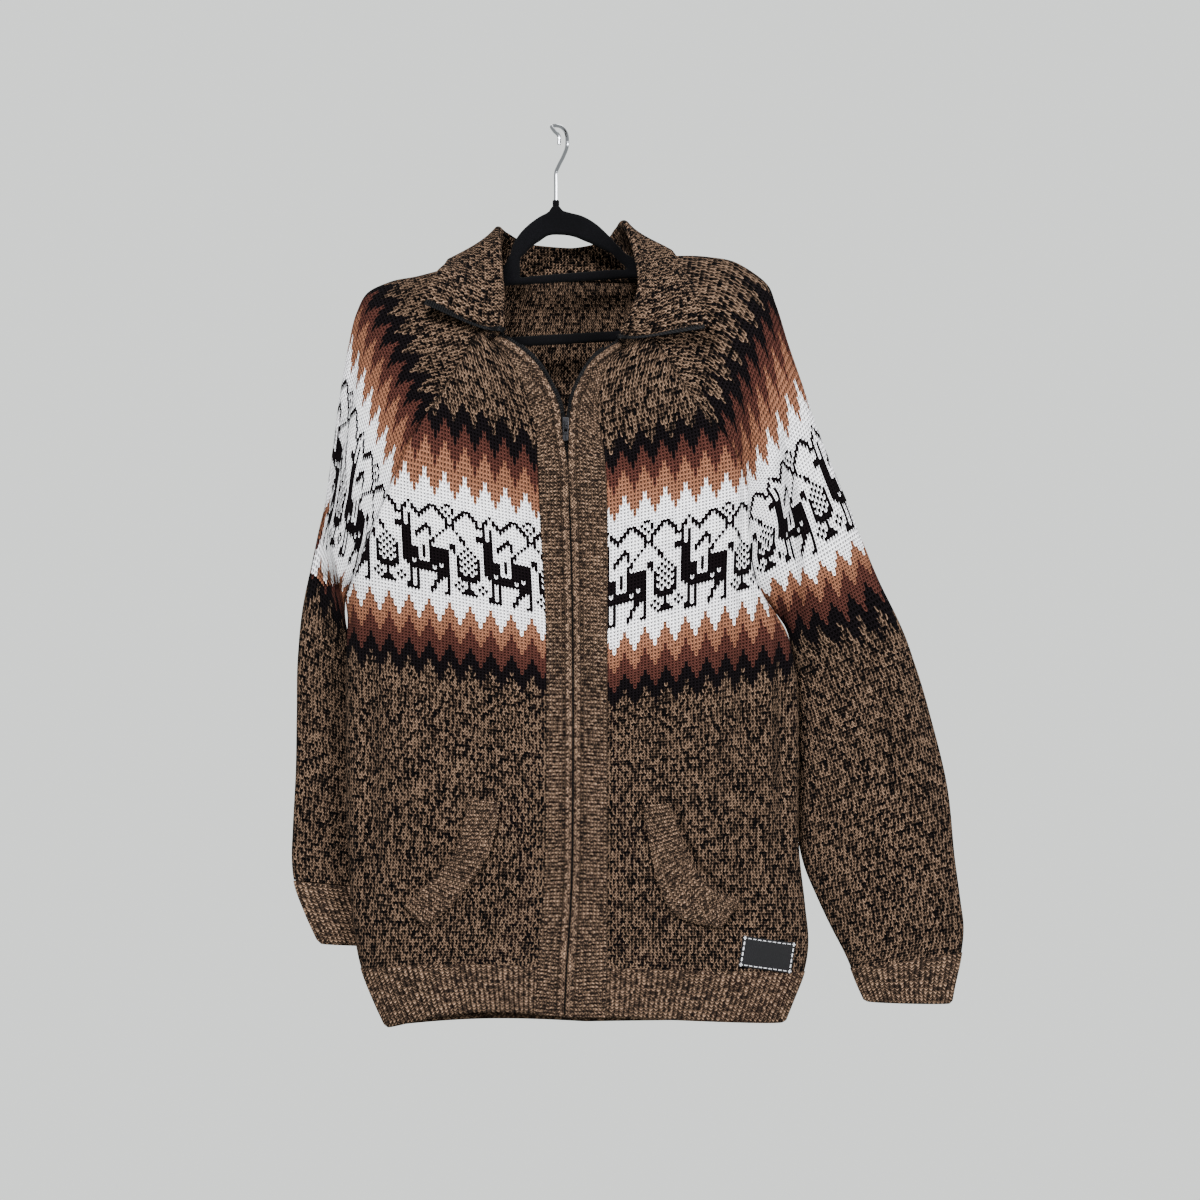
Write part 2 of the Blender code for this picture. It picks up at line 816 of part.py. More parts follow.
def make_panels(left, right):
    """Fronts, back, sleeves and the ribs knitted on to them."""
    depth = Track(BACK_DEPTH)

    def back(course, share):
        return back_point(left, right, depth, course, share)

    rows = YOKE_ROWS + SKIRT_ROWS[1:]
    walls = [Wall("back", back, spread(0, 1, 14), rows, CLOTH, facing(0, 1, 0), "patterned")]
    hem = ribs_across(385)
    walls.append(Wall("hem_back", back, hem, HEM_ROWS, RIB_CLOTH, facing(0, 1, 0), "marl", rib(hem),
                      gap=RIB_GAP))
    for body, tag, hem_length in ((left, "left", 150), (right, "right", 175)):
        shares = spread(0, 1, 10)
        walls.append(
            Wall(f"front_{tag}", body.front, shares, rows, CLOTH, facing(0, -1, 0), "patterned")
        )
        hem = ribs_across(hem_length)
        walls.append(
            Wall(f"hem_{tag}", body.front, hem, HEM_ROWS, RIB_CLOTH, facing(0, -1, 0), "marl", rib(hem),
                 gap=RIB_GAP)
        )
        cuff, end = (CUFF_LEFT, CUFF_LEFT_END) if tag == "left" else (CUFF_RIGHT, CUFF_RIGHT_END)
        arm_rows = YOKE_ROWS + [287, 296, 313, *spread(330, cuff, 8)]
        outwards = facing(body.side, 0, 0)
        walls.append(
            Wall(f"sleeve_{tag}", body.sleeve, spread(0, 1, 16), arm_rows, CLOTH,
                 away_from_arm(body), "patterned", tube=0.05)
        )
        cuff_ribs = ribs_across(200)
        walls.append(
            Wall(f"cuff_{tag}", body.sleeve, cuff_ribs, [cuff, end], RIB_CLOTH,
                 away_from_arm(body), "marl", rib(cuff_ribs), tube=0.05, gap=RIB_GAP)
        )
        band_rows = [*spread(0, 75, 10), *spread(75, 145, 4)[1:], *spread(145, HEM_END, 16)[1:]]
        walls.append(
            Wall(f"band_{tag}", body.band, spread(0, 1, 3), band_rows, RIB_CLOTH,
                 facing(0, -1, 0), "marl")
        )
    return walls


def away_from_arm(body):
    """The direction out of a sleeve, at a point on its skin."""

    def outside(place):
        best = min(spread(0, CUFF_RIGHT, 60), key=lambda c: (arm_middle(body, c) - place).length)
        return place - arm_middle(body, best)

    return outside


def arm_middle(body, course):
    return (body.sleeve(course, 0.25) + body.sleeve(course, 0.75)) / 2


def make_collar(left, right):
    collar = Collar(left, right, Track(BACK_DEPTH))
    heights = [0, 0.15, 0.3, 0.38, 0.47, 0.55, 0.68, 0.84, 1]

    def seen(place):
        return Vector((0, 0, 1)) if place.z > -140 else Vector((0, -1, 0.3))

    return Wall("collar", collar.point, spread(0, 1, 36), heights, RIB_CLOTH, seen, "marl")


def outward(surface, course, share, step=0.01):
    """The normal of a front surface towards the viewer."""
    along = surface(course + 1, share) - surface(course - 1, share)
    over = surface(course, share + step) - surface(course, share - step)
    normal = along.cross(over).normalized()
    return normal if normal.y < 0 else -normal


def make_zip_tape(body, tag):
    """The tape behind the front band's edge, reaching to the middle of the zip."""
    other = Track(ZIP_EDGE_RIGHT if body.side < 0 else ZIP_EDGE_LEFT)

    def point(course, share):
        here = body.band(course, 0.0)
        back_in = (body.band(course, 0.2) - here).normalized()
        middle = Vector((other(course)[0], here.y, here.z))
        reach = min(2.6, abs(middle.x - here.x) / 2 - SEAM_GAP * 0.2)
        spot = here + back_in * (-reach + (TAPE_WIDTH + reach) * share)
        return spot - outward(body.band, course, 0.2) * (RIB_CLOTH + TAPE_GAP)

    rows = [*spread(16, 60, 6), 68, 75, 95, *spread(145, HEM_END - 3, 10)]
    return Wall(f"zip_tape_{tag}", point, [0, 0.5, 1], rows, TAPE, facing(0, -1, 0), "tape")


def make_pocket_trim(body, tag):
    """The curved rib on the pocket's mouth; its open edge stands a little off the panel."""
    rows = POCKET_LEFT if body.side < 0 else POCKET_RIGHT
    gape = POCKET_GAPE_LEFT if body.side < 0 else POCKET_GAPE_RIGHT
    track = Track([(i, *row) for i, row in enumerate(rows)])

    def point(at, share):
        open_x, open_drop, sewn_x, sewn_drop = track(at)
        x = open_x + (sewn_x - open_x) * share
        drop = open_drop + (sewn_drop - open_drop) * share
        here, normal = body.on_front(x, drop)
        middle = math.sin(math.pi * at / (len(rows) - 1))
        stand = RIB_CLOTH + TRIM_GAP + gape * middle * (1 - share) ** 2
        return here + normal * stand

    return Wall(f"pocket_trim_{tag}", point, spread(0, 1, 4), spread(0, len(rows) - 1, 16),
                RIB_CLOTH, facing(0, -1, 0), "marl")


def make_label(body):
    """The plain woven patch over the join of the right front and its hem."""
    turn = math.radians(LABEL_TURN)

    def point(down, share):
        dx, dy = (share - 0.5) * LABEL_SIZE[0], (down - 0.5) * LABEL_SIZE[1]
        x = LABEL_CENTRE[0] + dx * math.cos(turn) - dy * math.sin(turn)
        drop = LABEL_CENTRE[1] + dx * math.sin(turn) + dy * math.cos(turn)
        here, normal = body.on_front(x, drop)
        return here + normal * (RIB_RAISE + LAYER_GAP + LABEL_CLOTH + 0.2)

    return Wall("label_patch", point, spread(0, 1, 8), spread(0, 1, 4), LABEL_CLOTH,
                facing(0, -1, 0), "label")


def rounded_block(bm, low, high, edge):
    """Adds a block between two corners, in millimetres, with its edges rounded."""
    size = [h - l for l, h in zip(low, high)]
    middle = [(h + l) / 2 for l, h in zip(low, high)]
    place = Matrix.Translation(middle) @ Matrix.Diagonal((*size, 1))
    made = bmesh.ops.create_cube(bm, size=1, matrix=place)
    edges = list({e for v in made["verts"] for e in v.link_edges})
    bmesh.ops.bevel(bm, geom=edges, offset=edge, offset_type="OFFSET", segments=2, profile=0.5,
                    affect="EDGES", material=-1, clamp_overlap=True)


def unite(name, blocks, finish):
    """Joins blocks, given as corners and an edge radius, into one closed solid."""
    parts = []
    for number, (low, high, edge) in enumerate(blocks):
        bm = bmesh.new()
        rounded_block(bm, low, high, edge)
        bmesh.ops.scale(bm, vec=(MM, MM, MM), verts=bm.verts)
        parts.append(new_object(name if number == 0 else f"{name}_block_{number}", bm, finish))
    for cutter in parts[1:]:
        cutter.hide_render = True
        cutter.display_type = "WIRE"
        union = parts[0].modifiers.new("join", "BOOLEAN")
        union.operation = "UNION"
        union.solver = "EXACT"
        union.object = cutter
    return parts[0]


def make_slider():
    """The zip's slider with the low bridge that its pull tab hangs on."""
    half = SLIDER_WIDTH / 2
    face = SLIDER_FRONT
    x, pivot_drop, pivot_y = TAB_PIVOT
    return unite("zip_slider", (
        ((x - half, face, -SLIDER_END), (x + half, face + SLIDER_BODY, -SLIDER_TOP), 0.7),
        ((x - 0.8, pivot_y - 1.9, -pivot_drop + 2.2), (x + 0.8, face + 1, -pivot_drop + 3.9), 0.25),
        ((x - 0.8, pivot_y - 1.9, -pivot_drop - 3.9), (x + 0.8, face + 1, -pivot_drop - 2.2), 0.25),
        ((x - 0.8, pivot_y - 1.9, -pivot_drop - 3.5), (x + 0.8, pivot_y - 1.0, -pivot_drop + 3.5), 0.2),
    ), "metal")


def flat_plate(name, loops, middle, thick, edge, finish):
    """A plate across Y with an outline and windows, given as loops of x and drop."""
    bm = bmesh.new()
    for loop in loops:
        verts = [bm.verts.new((x, middle - thick / 2, -drop)) for x, drop in loop]
        for a, b in zip(verts, verts[1:] + verts[:1]):
            bm.edges.new((a, b))
    bmesh.ops.triangle_fill(bm, edges=bm.edges, use_beauty=True)
    made = bmesh.ops.extrude_face_region(bm, geom=list(bm.faces))
    bmesh.ops.translate(bm, vec=(0, thick, 0),
                        verts=[g for g in made["geom"] if isinstance(g, bmesh.types.BMVert)])
    bmesh.ops.recalc_face_normals(bm, faces=bm.faces)
    bmesh.ops.dissolve_limit(bm, angle_limit=0.01, verts=bm.verts, edges=bm.edges)
    corners = [e for e in bm.edges if abs(e.verts[0].co.y - e.verts[1].co.y) < thick / 2]
    bmesh.ops.bevel(bm, geom=corners, offset=edge, offset_type="OFFSET", segments=2,
                    profile=0.5, affect="EDGES", material=-1, clamp_overlap=True)
    bmesh.ops.triangulate(bm, faces=bm.faces)
    bmesh.ops.scale(bm, vec=(MM, MM, MM), verts=bm.verts)
    return new_object(name, bm, finish)


def make_pull_tab():
    """The tab: a plate with a window, whose upper bar lies under the slider's bridge."""
    x, drop, y = TAB_PIVOT
    half, bar, end = TAB_WIDTH / 2, TAB_BAR / 2, TAB_END
    outline = (
        (x - half + 0.4, drop - bar), (x + half - 0.4, drop - bar), (x + half, drop + 0.4),
        (x + half, end - 1.2), (x + half - 1.2, end), (x - half + 1.2, end),
        (x - half, end - 1.2), (x - half, drop + 0.4),
    )
    inner = half - 1.2
    window = (
        (x - inner, drop + bar), (x + inner, drop + bar),
        (x + inner, drop + TAB_WINDOW), (x - inner, drop + TAB_WINDOW),
    )
    return flat_plate("pull_tab", (outline, window), y, TAB_BAR, 0.2, "metal")


def make_hanger_frame():
    """The flat moulded frame with its arch, arms and two bars."""
    loops = (HANGER_OUTLINE, HANGER_UPPER_WINDOW, HANGER_LOWER_WINDOW)
    return flat_plate("hanger_frame", loops, 0, HANGER_THICK, HANGER_EDGE, "velvet")


def make_hanger_neck():
    """The sleeve that the hook's shank goes into."""
    top, bottom, radius = HANGER_NECK
    hole = WIRE_RADIUS + 0.3
    bm = bmesh.new()
    profile = [(hole, top), (radius - 0.6, top), (radius, top + 0.8), (radius, bottom), (hole, bottom)]
    verts = [bm.verts.new((HOOK[0][0] + r, 0, -drop)) for r, drop in profile]
    edges = [bm.edges.new(pair) for pair in zip(verts, verts[1:] + verts[:1])]
    bmesh.ops.spin(bm, geom=verts + edges, cent=(HOOK[0][0], 0, 0), axis=(0, 0, 1), dvec=(0, 0, 0),
                   angle=2 * math.pi, steps=16, use_merge=True, use_duplicate=False)
    bmesh.ops.remove_doubles(bm, verts=bm.verts, dist=0.001)
    bmesh.ops.recalc_face_normals(bm, faces=bm.faces)
    bmesh.ops.scale(bm, vec=(MM, MM, MM), verts=bm.verts)
    return new_object("hanger_neck", bm, "velvet")


def make_hook():
    """The hanger's wire hook."""
    track = Track([(i, *row) for i, row in enumerate(HOOK)])
    curve = bpy.data.curves.new("hook", "CURVE")
    curve.dimensions = "3D"
    curve.bevel_depth = WIRE_RADIUS * MM
    curve.bevel_resolution = 2
    curve.use_fill_caps = True
    line = curve.splines.new("POLY")
    line.points.add(HOOK_STEPS)
    for number, at in enumerate(spread(0, len(HOOK) - 1, HOOK_STEPS)):
        x, drop, y = track(at)
        line.points[number].co = (x * MM, y * MM, -drop * MM, 1)
    made = bpy.data.objects.new("hook", curve)
    curve.materials.append(material("chrome"))
    bpy.context.collection.objects.link(made)
    return made


def main():
    for old in list(bpy.data.objects):
        bpy.data.objects.remove(old)
    left, right = Body(-1), Body(1)
    walls = make_panels(left, right)
    share_normals(walls)
    walls.append(make_collar(left, right))
    for body, tag in ((left, "left"), (right, "right")):
        walls.append(make_zip_tape(body, tag))
        walls.append(make_pocket_trim(body, tag))
    walls.append(make_label(right))
    for wall in walls:
        wall.finish()
    make_slider()
    make_pull_tab()
    make_hanger_frame()
    make_hanger_neck()
    make_hook()


main()
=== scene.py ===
"""A knitted raglan cardigan with a zip and a fold-over collar, on a velvet hanger.

The solids are loaded as a fixed frame, in metres, +Z up, the front towards -Y, with the origin at the
inside top of the hanger's hook. Each knitted piece is made here again stitch by stitch on the same
form, with its folds, and stands for its solid. The hanger's frame is moulded again with round edges.
The hanger's neck, the hook, the slider and the pull tab keep their solids and get finishes.

The tables are in millimetres: x to the right as seen from the front, drop straight down from the
origin, and y away from the viewer. Where a table has two sides, -1 is the left one in the picture. A
course is a distance along the raglan seam and then down the side, so panels that meet at a seam
share it.
"""

from __future__ import annotations

import logging
import math
from dataclasses import dataclass
from enum import Enum
from typing import Callable, Sequence

import bmesh
import bpy
import numpy as np
from bmesh.types import BMEdge, BMesh
from bpy.types import Material, Mesh, Node, NodeSocket, NodeTree, Object
from mathutils import Matrix, Vector


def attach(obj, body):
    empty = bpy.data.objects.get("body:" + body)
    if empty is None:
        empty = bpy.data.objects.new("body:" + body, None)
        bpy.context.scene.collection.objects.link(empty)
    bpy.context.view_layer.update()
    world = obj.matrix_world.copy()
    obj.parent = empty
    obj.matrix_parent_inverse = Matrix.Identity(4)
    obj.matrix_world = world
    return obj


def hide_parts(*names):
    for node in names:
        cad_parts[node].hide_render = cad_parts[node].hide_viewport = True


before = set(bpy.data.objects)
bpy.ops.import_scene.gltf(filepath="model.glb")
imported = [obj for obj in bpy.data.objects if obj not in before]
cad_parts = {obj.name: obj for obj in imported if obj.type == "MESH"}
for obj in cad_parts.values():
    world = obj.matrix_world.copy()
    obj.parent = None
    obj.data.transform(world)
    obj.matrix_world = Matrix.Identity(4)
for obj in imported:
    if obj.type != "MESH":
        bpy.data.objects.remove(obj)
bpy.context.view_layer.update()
LOG = logging.getLogger("cardigan")
Point = Callable[[float, float], Vector]

MM = 0.001
FRONT = Vector((0, -1, 0))  # towards the viewer
CLOTH = 2.8  # thickness of the plain knit
RIB_CLOTH = 3.0  # thickness of the ribbed bands
RIB_RAISE = 0.9  # how far a rib stands proud
RIB_PITCH = 4.8  # one rib of the hem and the cuffs
LEG = 1.64  # half of a stitch's width: one leg of its V
ROW = 3.2  # height of a knitted row
TAPE_WIDTH = 9.0
TRIM_GAP = 1.4  # between a pocket's trim and its panel
TAPE_GAP = 1.3  # between a front band and the zip's tape behind it
BAND_CROWN = 0.8  # how far a front band's middle stands out
BODY_ROUND = 2.6  # superellipse power of the body's section

ARMPIT = 279.0  # the course where the raglan seam ends
WAIST_RIB = 628.0  # the course where the hem's rib starts
HEM_END = 686.0
CUFF = {-1: (600.0, 660.0), 1: (660.0, 709.0)}  # the courses where a cuff starts and ends

# Columns: course, x, drop, y. The front raglan seams, from the neck down to the armpit.
RAGLAN_FRONT = {
    -1: (
        (0, -71, 190, -37), (75, -116, 264, -36), (95, -128, 280, -35), (115, -139, 299, -34),
        (145, -152, 330, -33), (200, -173, 378, -29), (240, -187, 413, -21), (265, -196, 436, -10),
        (279, -201, 449, 0),
    ),
    1: (
        (0, 88, 195, -38), (12, 95, 207, -39), (75, 142, 274, -38), (95, 158, 292, -37),
        (115, 170, 311, -36), (145, 179, 336, -34), (200, 182, 388, -29), (240, 187, 425, -20),
        (265, 198, 448, -9), (279, 207, 460, 0),
    ),
}
RAGLAN_BACK = {
    -1: (
        (0, -52, 143, 32), (75, -92, 215, 36), (145, -128, 285, 37), (200, -158, 345, 33),
        (240, -180, 395, 24), (265, -194, 430, 11), (279, -201, 449, 0),
    ),
    1: (
        (0, 78, 145, 32), (75, 112, 215, 36), (145, 143, 285, 37), (200, 168, 345, 33),
        (240, 188, 398, 24), (265, 201, 438, 11), (279, 207, 460, 0),
    ),
}

# Columns: course, x, drop, y. The side seams of the body, from the armpit to the hem.
SIDE = {
    -1: (
        (279, -201, 449, 0), (295, -199, 465, 0), (326, -200, 496, 0), (443, -201, 613, 0),
        (528, -198, 698, 0), (592, -193, 762, 0), (628, -186, 798, 0), (659, -174, 829, 0),
        (686, -162, 855, 0),
    ),
    1: (
        (279, 207, 460, 0), (295, 217, 477, 0), (326, 226, 510, 0), (400, 230, 590, 0),
        (500, 230, 682, 0), (560, 236, 740, 0), (600, 239, 775, 0), (628, 235, 801, 0),
        (659, 224, 830, 0), (686, 216, 850, 0),
    ),
}

# Columns: course, x, drop, y. Where each front panel meets its front band.
BAND_SIDE = {
    -1: (
        (0, -62, 204, -43), (15, -44, 223, -44), (30, -33, 246, -44), (45, -27, 262, -44),
        (60, -22, 279, -44), (75, -19, 295, -44), (95, -18, 318, -45), (145, -16, 363, -46),
        (279, -10, 485, -47), (450, -10, 637, -45), (560, -13, 736, -42), (628, -18, 794, -39),
        (686, -20, 839, -35),
    ),
    1: (
        (0, 63, 210, -43), (15, 49, 225, -44), (30, 41, 250, -44), (45, 39, 268, -44),
        (60, 41, 286, -44), (75, 44, 304, -44), (95, 46, 322, -45), (145, 48, 366, -46),
        (279, 48, 500, -47), (450, 48, 640, -45), (560, 48, 738, -42), (628, 48, 795, -39),
        (686, 47, 842, -35),
    ),
}
# Columns: course, x, drop, y. The front bands' edges along the zip, open above course 60.
ZIP_EDGE = {
    -1: (
        (0, -57, 198, -44), (15, -36, 211, -46), (30, -18, 228, -46), (45, -6, 248, -45),
        (60, 2, 266, -45), (75, 4.6, 288, -45), (95, 9, 316, -46), (145, 11, 362, -47),
        (279, 14, 485, -48), (450, 14, 637, -46), (560, 12, 735, -43), (628, 8, 797, -40),
        (686, 6, 841, -36),
    ),
    1: (
        (0, 62, 204, -44), (15, 46, 214, -46), (30, 33, 225, -46), (45, 22, 243, -45),
        (60, 15, 263, -45), (75, 12.4, 288, -45), (95, 12, 317, -46), (145, 14, 363, -47),
        (279, 17, 497, -48), (450, 17, 638, -46), (560, 15, 737, -43), (628, 11, 797, -40),
        (686, 9, 842, -36),
    ),
}

# Columns: course, y at the middle of the back.
BACK_DEPTH = ((0, 41), (75, 45), (145, 47), (279, 48), (450, 45), (628, 39), (686, 35))

# Columns: course, x, drop, y. The sleeves' outer line: shoulder, then the outside of the arm.
ARM_OUTER = {
    -1: (
        (0, -76, 129, 0), (20, -104, 134, 0), (45, -132, 141, 0), (75, -160, 147, 0), (95, -180, 157, 0),
        (115, -190, 175, 0), (145, -198, 207, 0), (173, -204, 240, 0), (200, -209, 273, 0),
        (228, -213, 305, 0), (258, -217.5, 338, 0), (279, -221, 361, 0), (296, -226, 382, 0),
        (313, -232, 415, 2), (330, -237, 441, 4), (380, -245, 500, 8), (437, -247, 558, 9),
        (494, -248, 612, 9), (551, -251, 667, 9), (580, -252, 695, 8), (600, -250, 716, 8),
        (630, -240, 745, 6), (660, -226, 776, 5),
    ),
    1: (
        (0, 84, 125, 0), (20, 108, 122, 0), (45, 145, 123, 0), (62, 172, 129, 0), (75, 196, 145, 0),
        (95, 208, 168, 0), (115, 219, 203, 0), (145, 236, 252, 0), (173, 248, 287, 0),
        (200, 260, 318, 0), (240, 278, 361, 0), (265, 289.5, 391, 0), (279, 294, 402, 0),
        (296, 300, 417, 0), (313, 308.5, 436, 0), (330, 322, 463, 1), (380, 341, 512, 3),
        (437, 356, 562, 5), (499, 371, 624, 6), (573, 379, 698, 6), (610, 384, 735, 6),
        (635, 387, 760, 6), (665, 384, 789, 6), (692, 378, 817, 6), (709, 375, 833, 6),
    ),
}
# Columns: course, x, drop, y. The underarm lines, tucked behind the body's side.
ARM_INNER = {
    -1: (
        (279, -201, 449, 0), (296, -202, 466, 13), (313, -201, 482, 26), (330, -195, 498, 38),
        (380, -168, 545, 58), (437, -152, 590, 62), (494, -148, 642, 64), (551, -148, 690, 64),
        (600, -148, 730, 62), (630, -142, 756, 60), (660, -136, 783, 56),
    ),
    1: (
        (279, 207, 460, 0), (296, 218, 476, 11), (313, 223, 494, 20), (330, 225, 511, 26),
        (380, 226, 560, 30), (437, 227, 610, 30), (499, 229, 668, 28), (545, 237, 706, 24),
        (573, 247, 730, 20), (610, 262, 762, 16), (635, 273, 783, 15), (692, 288, 819, 14),
        (709, 294, 832, 14),
    ),
}
# Columns: course, how far the sleeve's front and its back stand out from the line across it.
ARM_BULGE = {
    -1: (
        (0, 38, 34), (75, 37, 37), (145, 35, 38), (200, 33, 35), (279, 27, 30), (330, 15, 26),
        (437, 14, 24), (551, 13, 22), (600, 11, 18), (660, 8, 13),
    ),
    1: (
        (0, 40, 34), (75, 38, 37), (145, 36, 38), (200, 33, 35), (279, 28, 30), (330, 24, 27),
        (437, 24, 26), (573, 23, 24), (660, 18, 19), (709, 13, 14),
    ),
}

# Columns: share of the way round from the left front to the right front, then x, drop, y of the
# roll line and of the collar's outer edge. The neck seam is the panels' own upper edge.
COLLAR = (
    (0.00, -52, 195, -57, -130, 167, -61), (0.07, -50, 181, -60, -123, 156, -57),
    (0.13, -50, 161, -57, -115, 142, -46), (0.21, -52, 128, -40, -107, 131, -26),
    (0.31, -54, 95, -8, -103, 126, 0), (0.38, -47, 99, 14, -92, 132, 26),
    (0.44, -26, 108, 33, -56, 146, 52), (0.50, 13, 111, 41, 13, 152, 61),
    (0.56, 44, 105, 35, 76, 146, 53), (0.62, 56, 94, 17, 98, 124, 29), (0.69, 62, 89, -7, 108, 116, 0),
    (0.79, 75, 120, -38, 122, 138, -28), (0.87, 79, 149, -56, 134, 158, -48),
    (0.93, 72, 178, -63, 142, 175, -60), (1.00, 60, 202, -58, 146, 192, -66),
)
# Columns: share of the way round, then the piece that the neck seam runs along up to there.
NECK_PIECES = (
    (0.05, "band", -1, 0, 1), (0.13, "front", -1, 0, 1), (0.31, "sleeve", -1, 0, 0.5),
    (0.44, "sleeve", -1, 0.5, 1), (0.56, "back", 0, 0, 1), (0.69, "sleeve", 1, 1, 0.5),
    (0.87, "sleeve", 1, 0.5, 0), (0.95, "front", 1, 1, 0), (1.00, "band", 1, 1, 0),
)
NECK_GAP = 1.0
ROLL_RADIUS = 3.6

# Columns: x and drop of one end, x and drop of the other, half width, depth of a soft fold.
# A depth above 0 is a trough and one below 0 a ridge.
FRONT_FOLDS = (
    (182, 236, 180, 440, 10, 5), (196, 250, 194, 440, 9, -3), (218, 285, 224, 440, 9, 9),
    (234, 330, 232, 455, 10, -4), (213, 500, 214, 690, 9, 5), (199, 480, 198, 660, 8, -4),
    (184, 470, 178, 745, 9, 4), (150, 520, 146, 640, 14, -2), (92, 660, 100, 770, 12, 4),
    (-190, 215, -214, 352, 7, 5), (-203, 330, -224, 400, 8, 6), (-176, 480, -183, 790, 9, 3),
    (-120, 480, -112, 700, 18, -2), (-66, 520, -70, 780, 20, 2),
)
BACK_FOLDS = (
    (-150, 300, -140, 760, 16, 4), (-60, 240, -80, 800, 24, -4), (30, 300, 26, 800, 20, 3),
    (110, 260, 132, 800, 22, -4), (182, 500, 192, 780, 14, 5),
)
FOLD_FADE = 24.0  # the depth over which the front's folds fade towards the side
FOLD_OVERRUN = 0.15  # how far a fold runs on past its ends, as a share of its length
HEM_LIFT = {-1: 8.0, 1: 0.0}  # how far a front's hem rises in its middle
HEM_LIFT_START, HEM_LIFT_REACH = 560.0, 126.0  # the course where it starts, and over how many it grows

# Columns: x and drop of the pocket's open edge, then of the trim's sewn edge.
POCKET = {
    -1: (
        (-83, 636, -53, 639), (-88, 662, -56, 662), (-96, 685, -64, 689), (-108, 703, -79, 712),
        (-126, 720, -99, 737), (-144, 737, -123, 757),
    ),
    1: (
        (108, 639, 81, 642), (112, 658, 84, 664), (118, 677, 89, 690), (128, 699, 98, 724),
        (143, 719, 116, 748), (173, 732, 155, 758),
    ),
}
POCKET_GAPE = {-1: 1.0, 1: 4.0}  # how far the open edge stands off the panel

LABEL_CENTRE = (198, 783)
LABEL_SIZE = (50, 29)
LABEL_TURN = 9.0  # degrees
LABEL_CLOTH = 1.0
# Columns: x, drop. The hanger's outline and its two windows.
HANGER_OUTLINE = (
    (-4, 74.5), (-7, 79), (-17, 85), (-26, 91.5), (-35, 100.5), (-41, 110), (-45, 122), (-54, 134),
    (-76, 140), (-104, 143), (-132, 148), (-158, 156), (-172, 164), (-179, 176), (-178, 192),
    (-168, 208), (-150, 214.5), (165, 197), (180, 190), (191, 174), (192, 160), (184, 148), (168, 137),
    (144, 130.5), (108, 130), (86, 131), (75, 124.5), (65, 119.5), (57, 111), (48, 101.5), (37, 91.5),
    (24, 84), (11, 80.5), (5, 78.5), (2, 74.5),
)
HANGER_UPPER_WINDOW = (
    (-35, 142), (-35, 125), (-24, 113), (-9, 103), (5, 102), (17, 104), (34, 111), (52, 120), (66, 134),
)
HANGER_LOWER_WINDOW = (
    (-46, 150), (-104, 161), (-140, 170), (-160, 178), (-164, 190), (-160, 200), (-148, 205), (150, 188),
    (168, 182), (176, 172), (176, 161), (164, 154), (140, 147), (104, 146), (72, 143),
)
ROLL_START, ROLL_END = 0.3, 0.55  # the share of the collar's height where its fold starts and ends
ROLL_SHARE = 0.4  # the most that the fold's radius takes of the stand's height
FALL_PULL = 0.35  # how strongly the collar's fall is curved, as a share of its length
PLACE_STEPS, PLACE_PACE, PLACE_MISS = 30, 0.8, 0.005  # of the search for a place on a front
FRONT_START = 170.0  # about how much lower a front's point is than its course says
SLEEVE_FREE, SLEEVE_REACH = 250.0, 120.0  # the course from which a sleeve turns square to its own line


class Track:
    """A smooth curve through a table whose first column is the key."""

    def __init__(self, rows: Sequence[Sequence[float]]) -> None:
        """Works out the curve's slope at each row.

        Args:
            rows: the table, its keys rising.
        """
        table = np.array(rows, float)
        self.key, self.value = table[:, 0], table[:, 1:]
        step = np.diff(self.key)[:, None]
        slope = np.diff(self.value, axis=0) / step
        inner = (slope[:-1] * step[1:] + slope[1:] * step[:-1]) / (step[:-1] + step[1:])
        inner[slope[:-1] * slope[1:] <= 0] *= 0.5
        self.tangent = np.vstack([slope[:1], inner, slope[-1:]])

    def __call__(self, at: float) -> np.ndarray:
        """Reads the curve.

        Args:
            at: the key, which is held at the table's ends.

        Returns:
            The other columns' values there.
        """
        at = min(max(at, self.key[0]), self.key[-1])
        i = min(int(np.searchsorted(self.key, at, "right")) - 1, len(self.key) - 2)
        h = self.key[i + 1] - self.key[i]
        t = (at - self.key[i]) / h
        a, b = self.value[i], self.value[i + 1]
        va, vb = self.tangent[i] * h, self.tangent[i + 1] * h
        start = a * (1 + 2 * t) * (1 - t) ** 2 + va * t * (1 - t) ** 2
        return start + b * t * t * (3 - 2 * t) + vb * t * t * (t - 1)


def smooth_step(t: float) -> float:
    """Rises smoothly from 0 to 1 as t does."""
    t = min(max(t, 0.0), 1.0)
    return t * t * (3 - 2 * t)


def towards_viewer(normal: Vector) -> Vector:
    """A normal of unit length, turned to the front."""
    normal = normal.normalized()
    return normal if normal.y < 0 else -normal


def folds_at(x: float, drop: float, folds: Sequence[Sequence[float]]) -> float:
    """How deep a table's folds are at a place on a panel.

    Args:
        x: the place's x.
        drop: its drop.
        folds: the table of folds.

    Returns:
        The depth away from the viewer.
    """
    depth = 0.0
    for x0, drop0, x1, drop1, width, deep in folds:
        along = (drop - drop0) / (drop1 - drop0)
        if -FOLD_OVERRUN < along < 1 + FOLD_OVERRUN:
            fade = math.sin(math.pi * (along + FOLD_OVERRUN) / (1 + 2 * FOLD_OVERRUN))
            off = (x - x0 - (x1 - x0) * along) / width
            depth += deep * fade * math.exp(-off * off)
    return depth


def front_fold(x: float, drop: float, y: float) -> float:
    """The fold's depth on the front, which fades out where the front turns to the side."""
    return folds_at(x, drop, FRONT_FOLDS) * smooth_step(-y / FOLD_FADE)


def hem_lift(lift: float, across: float, course: float) -> float:
    """How far the hem's rise lifts a point, by its share across and its course."""
    return lift * math.sin(math.pi * across) * smooth_step((course - HEM_LIFT_START) / HEM_LIFT_REACH)


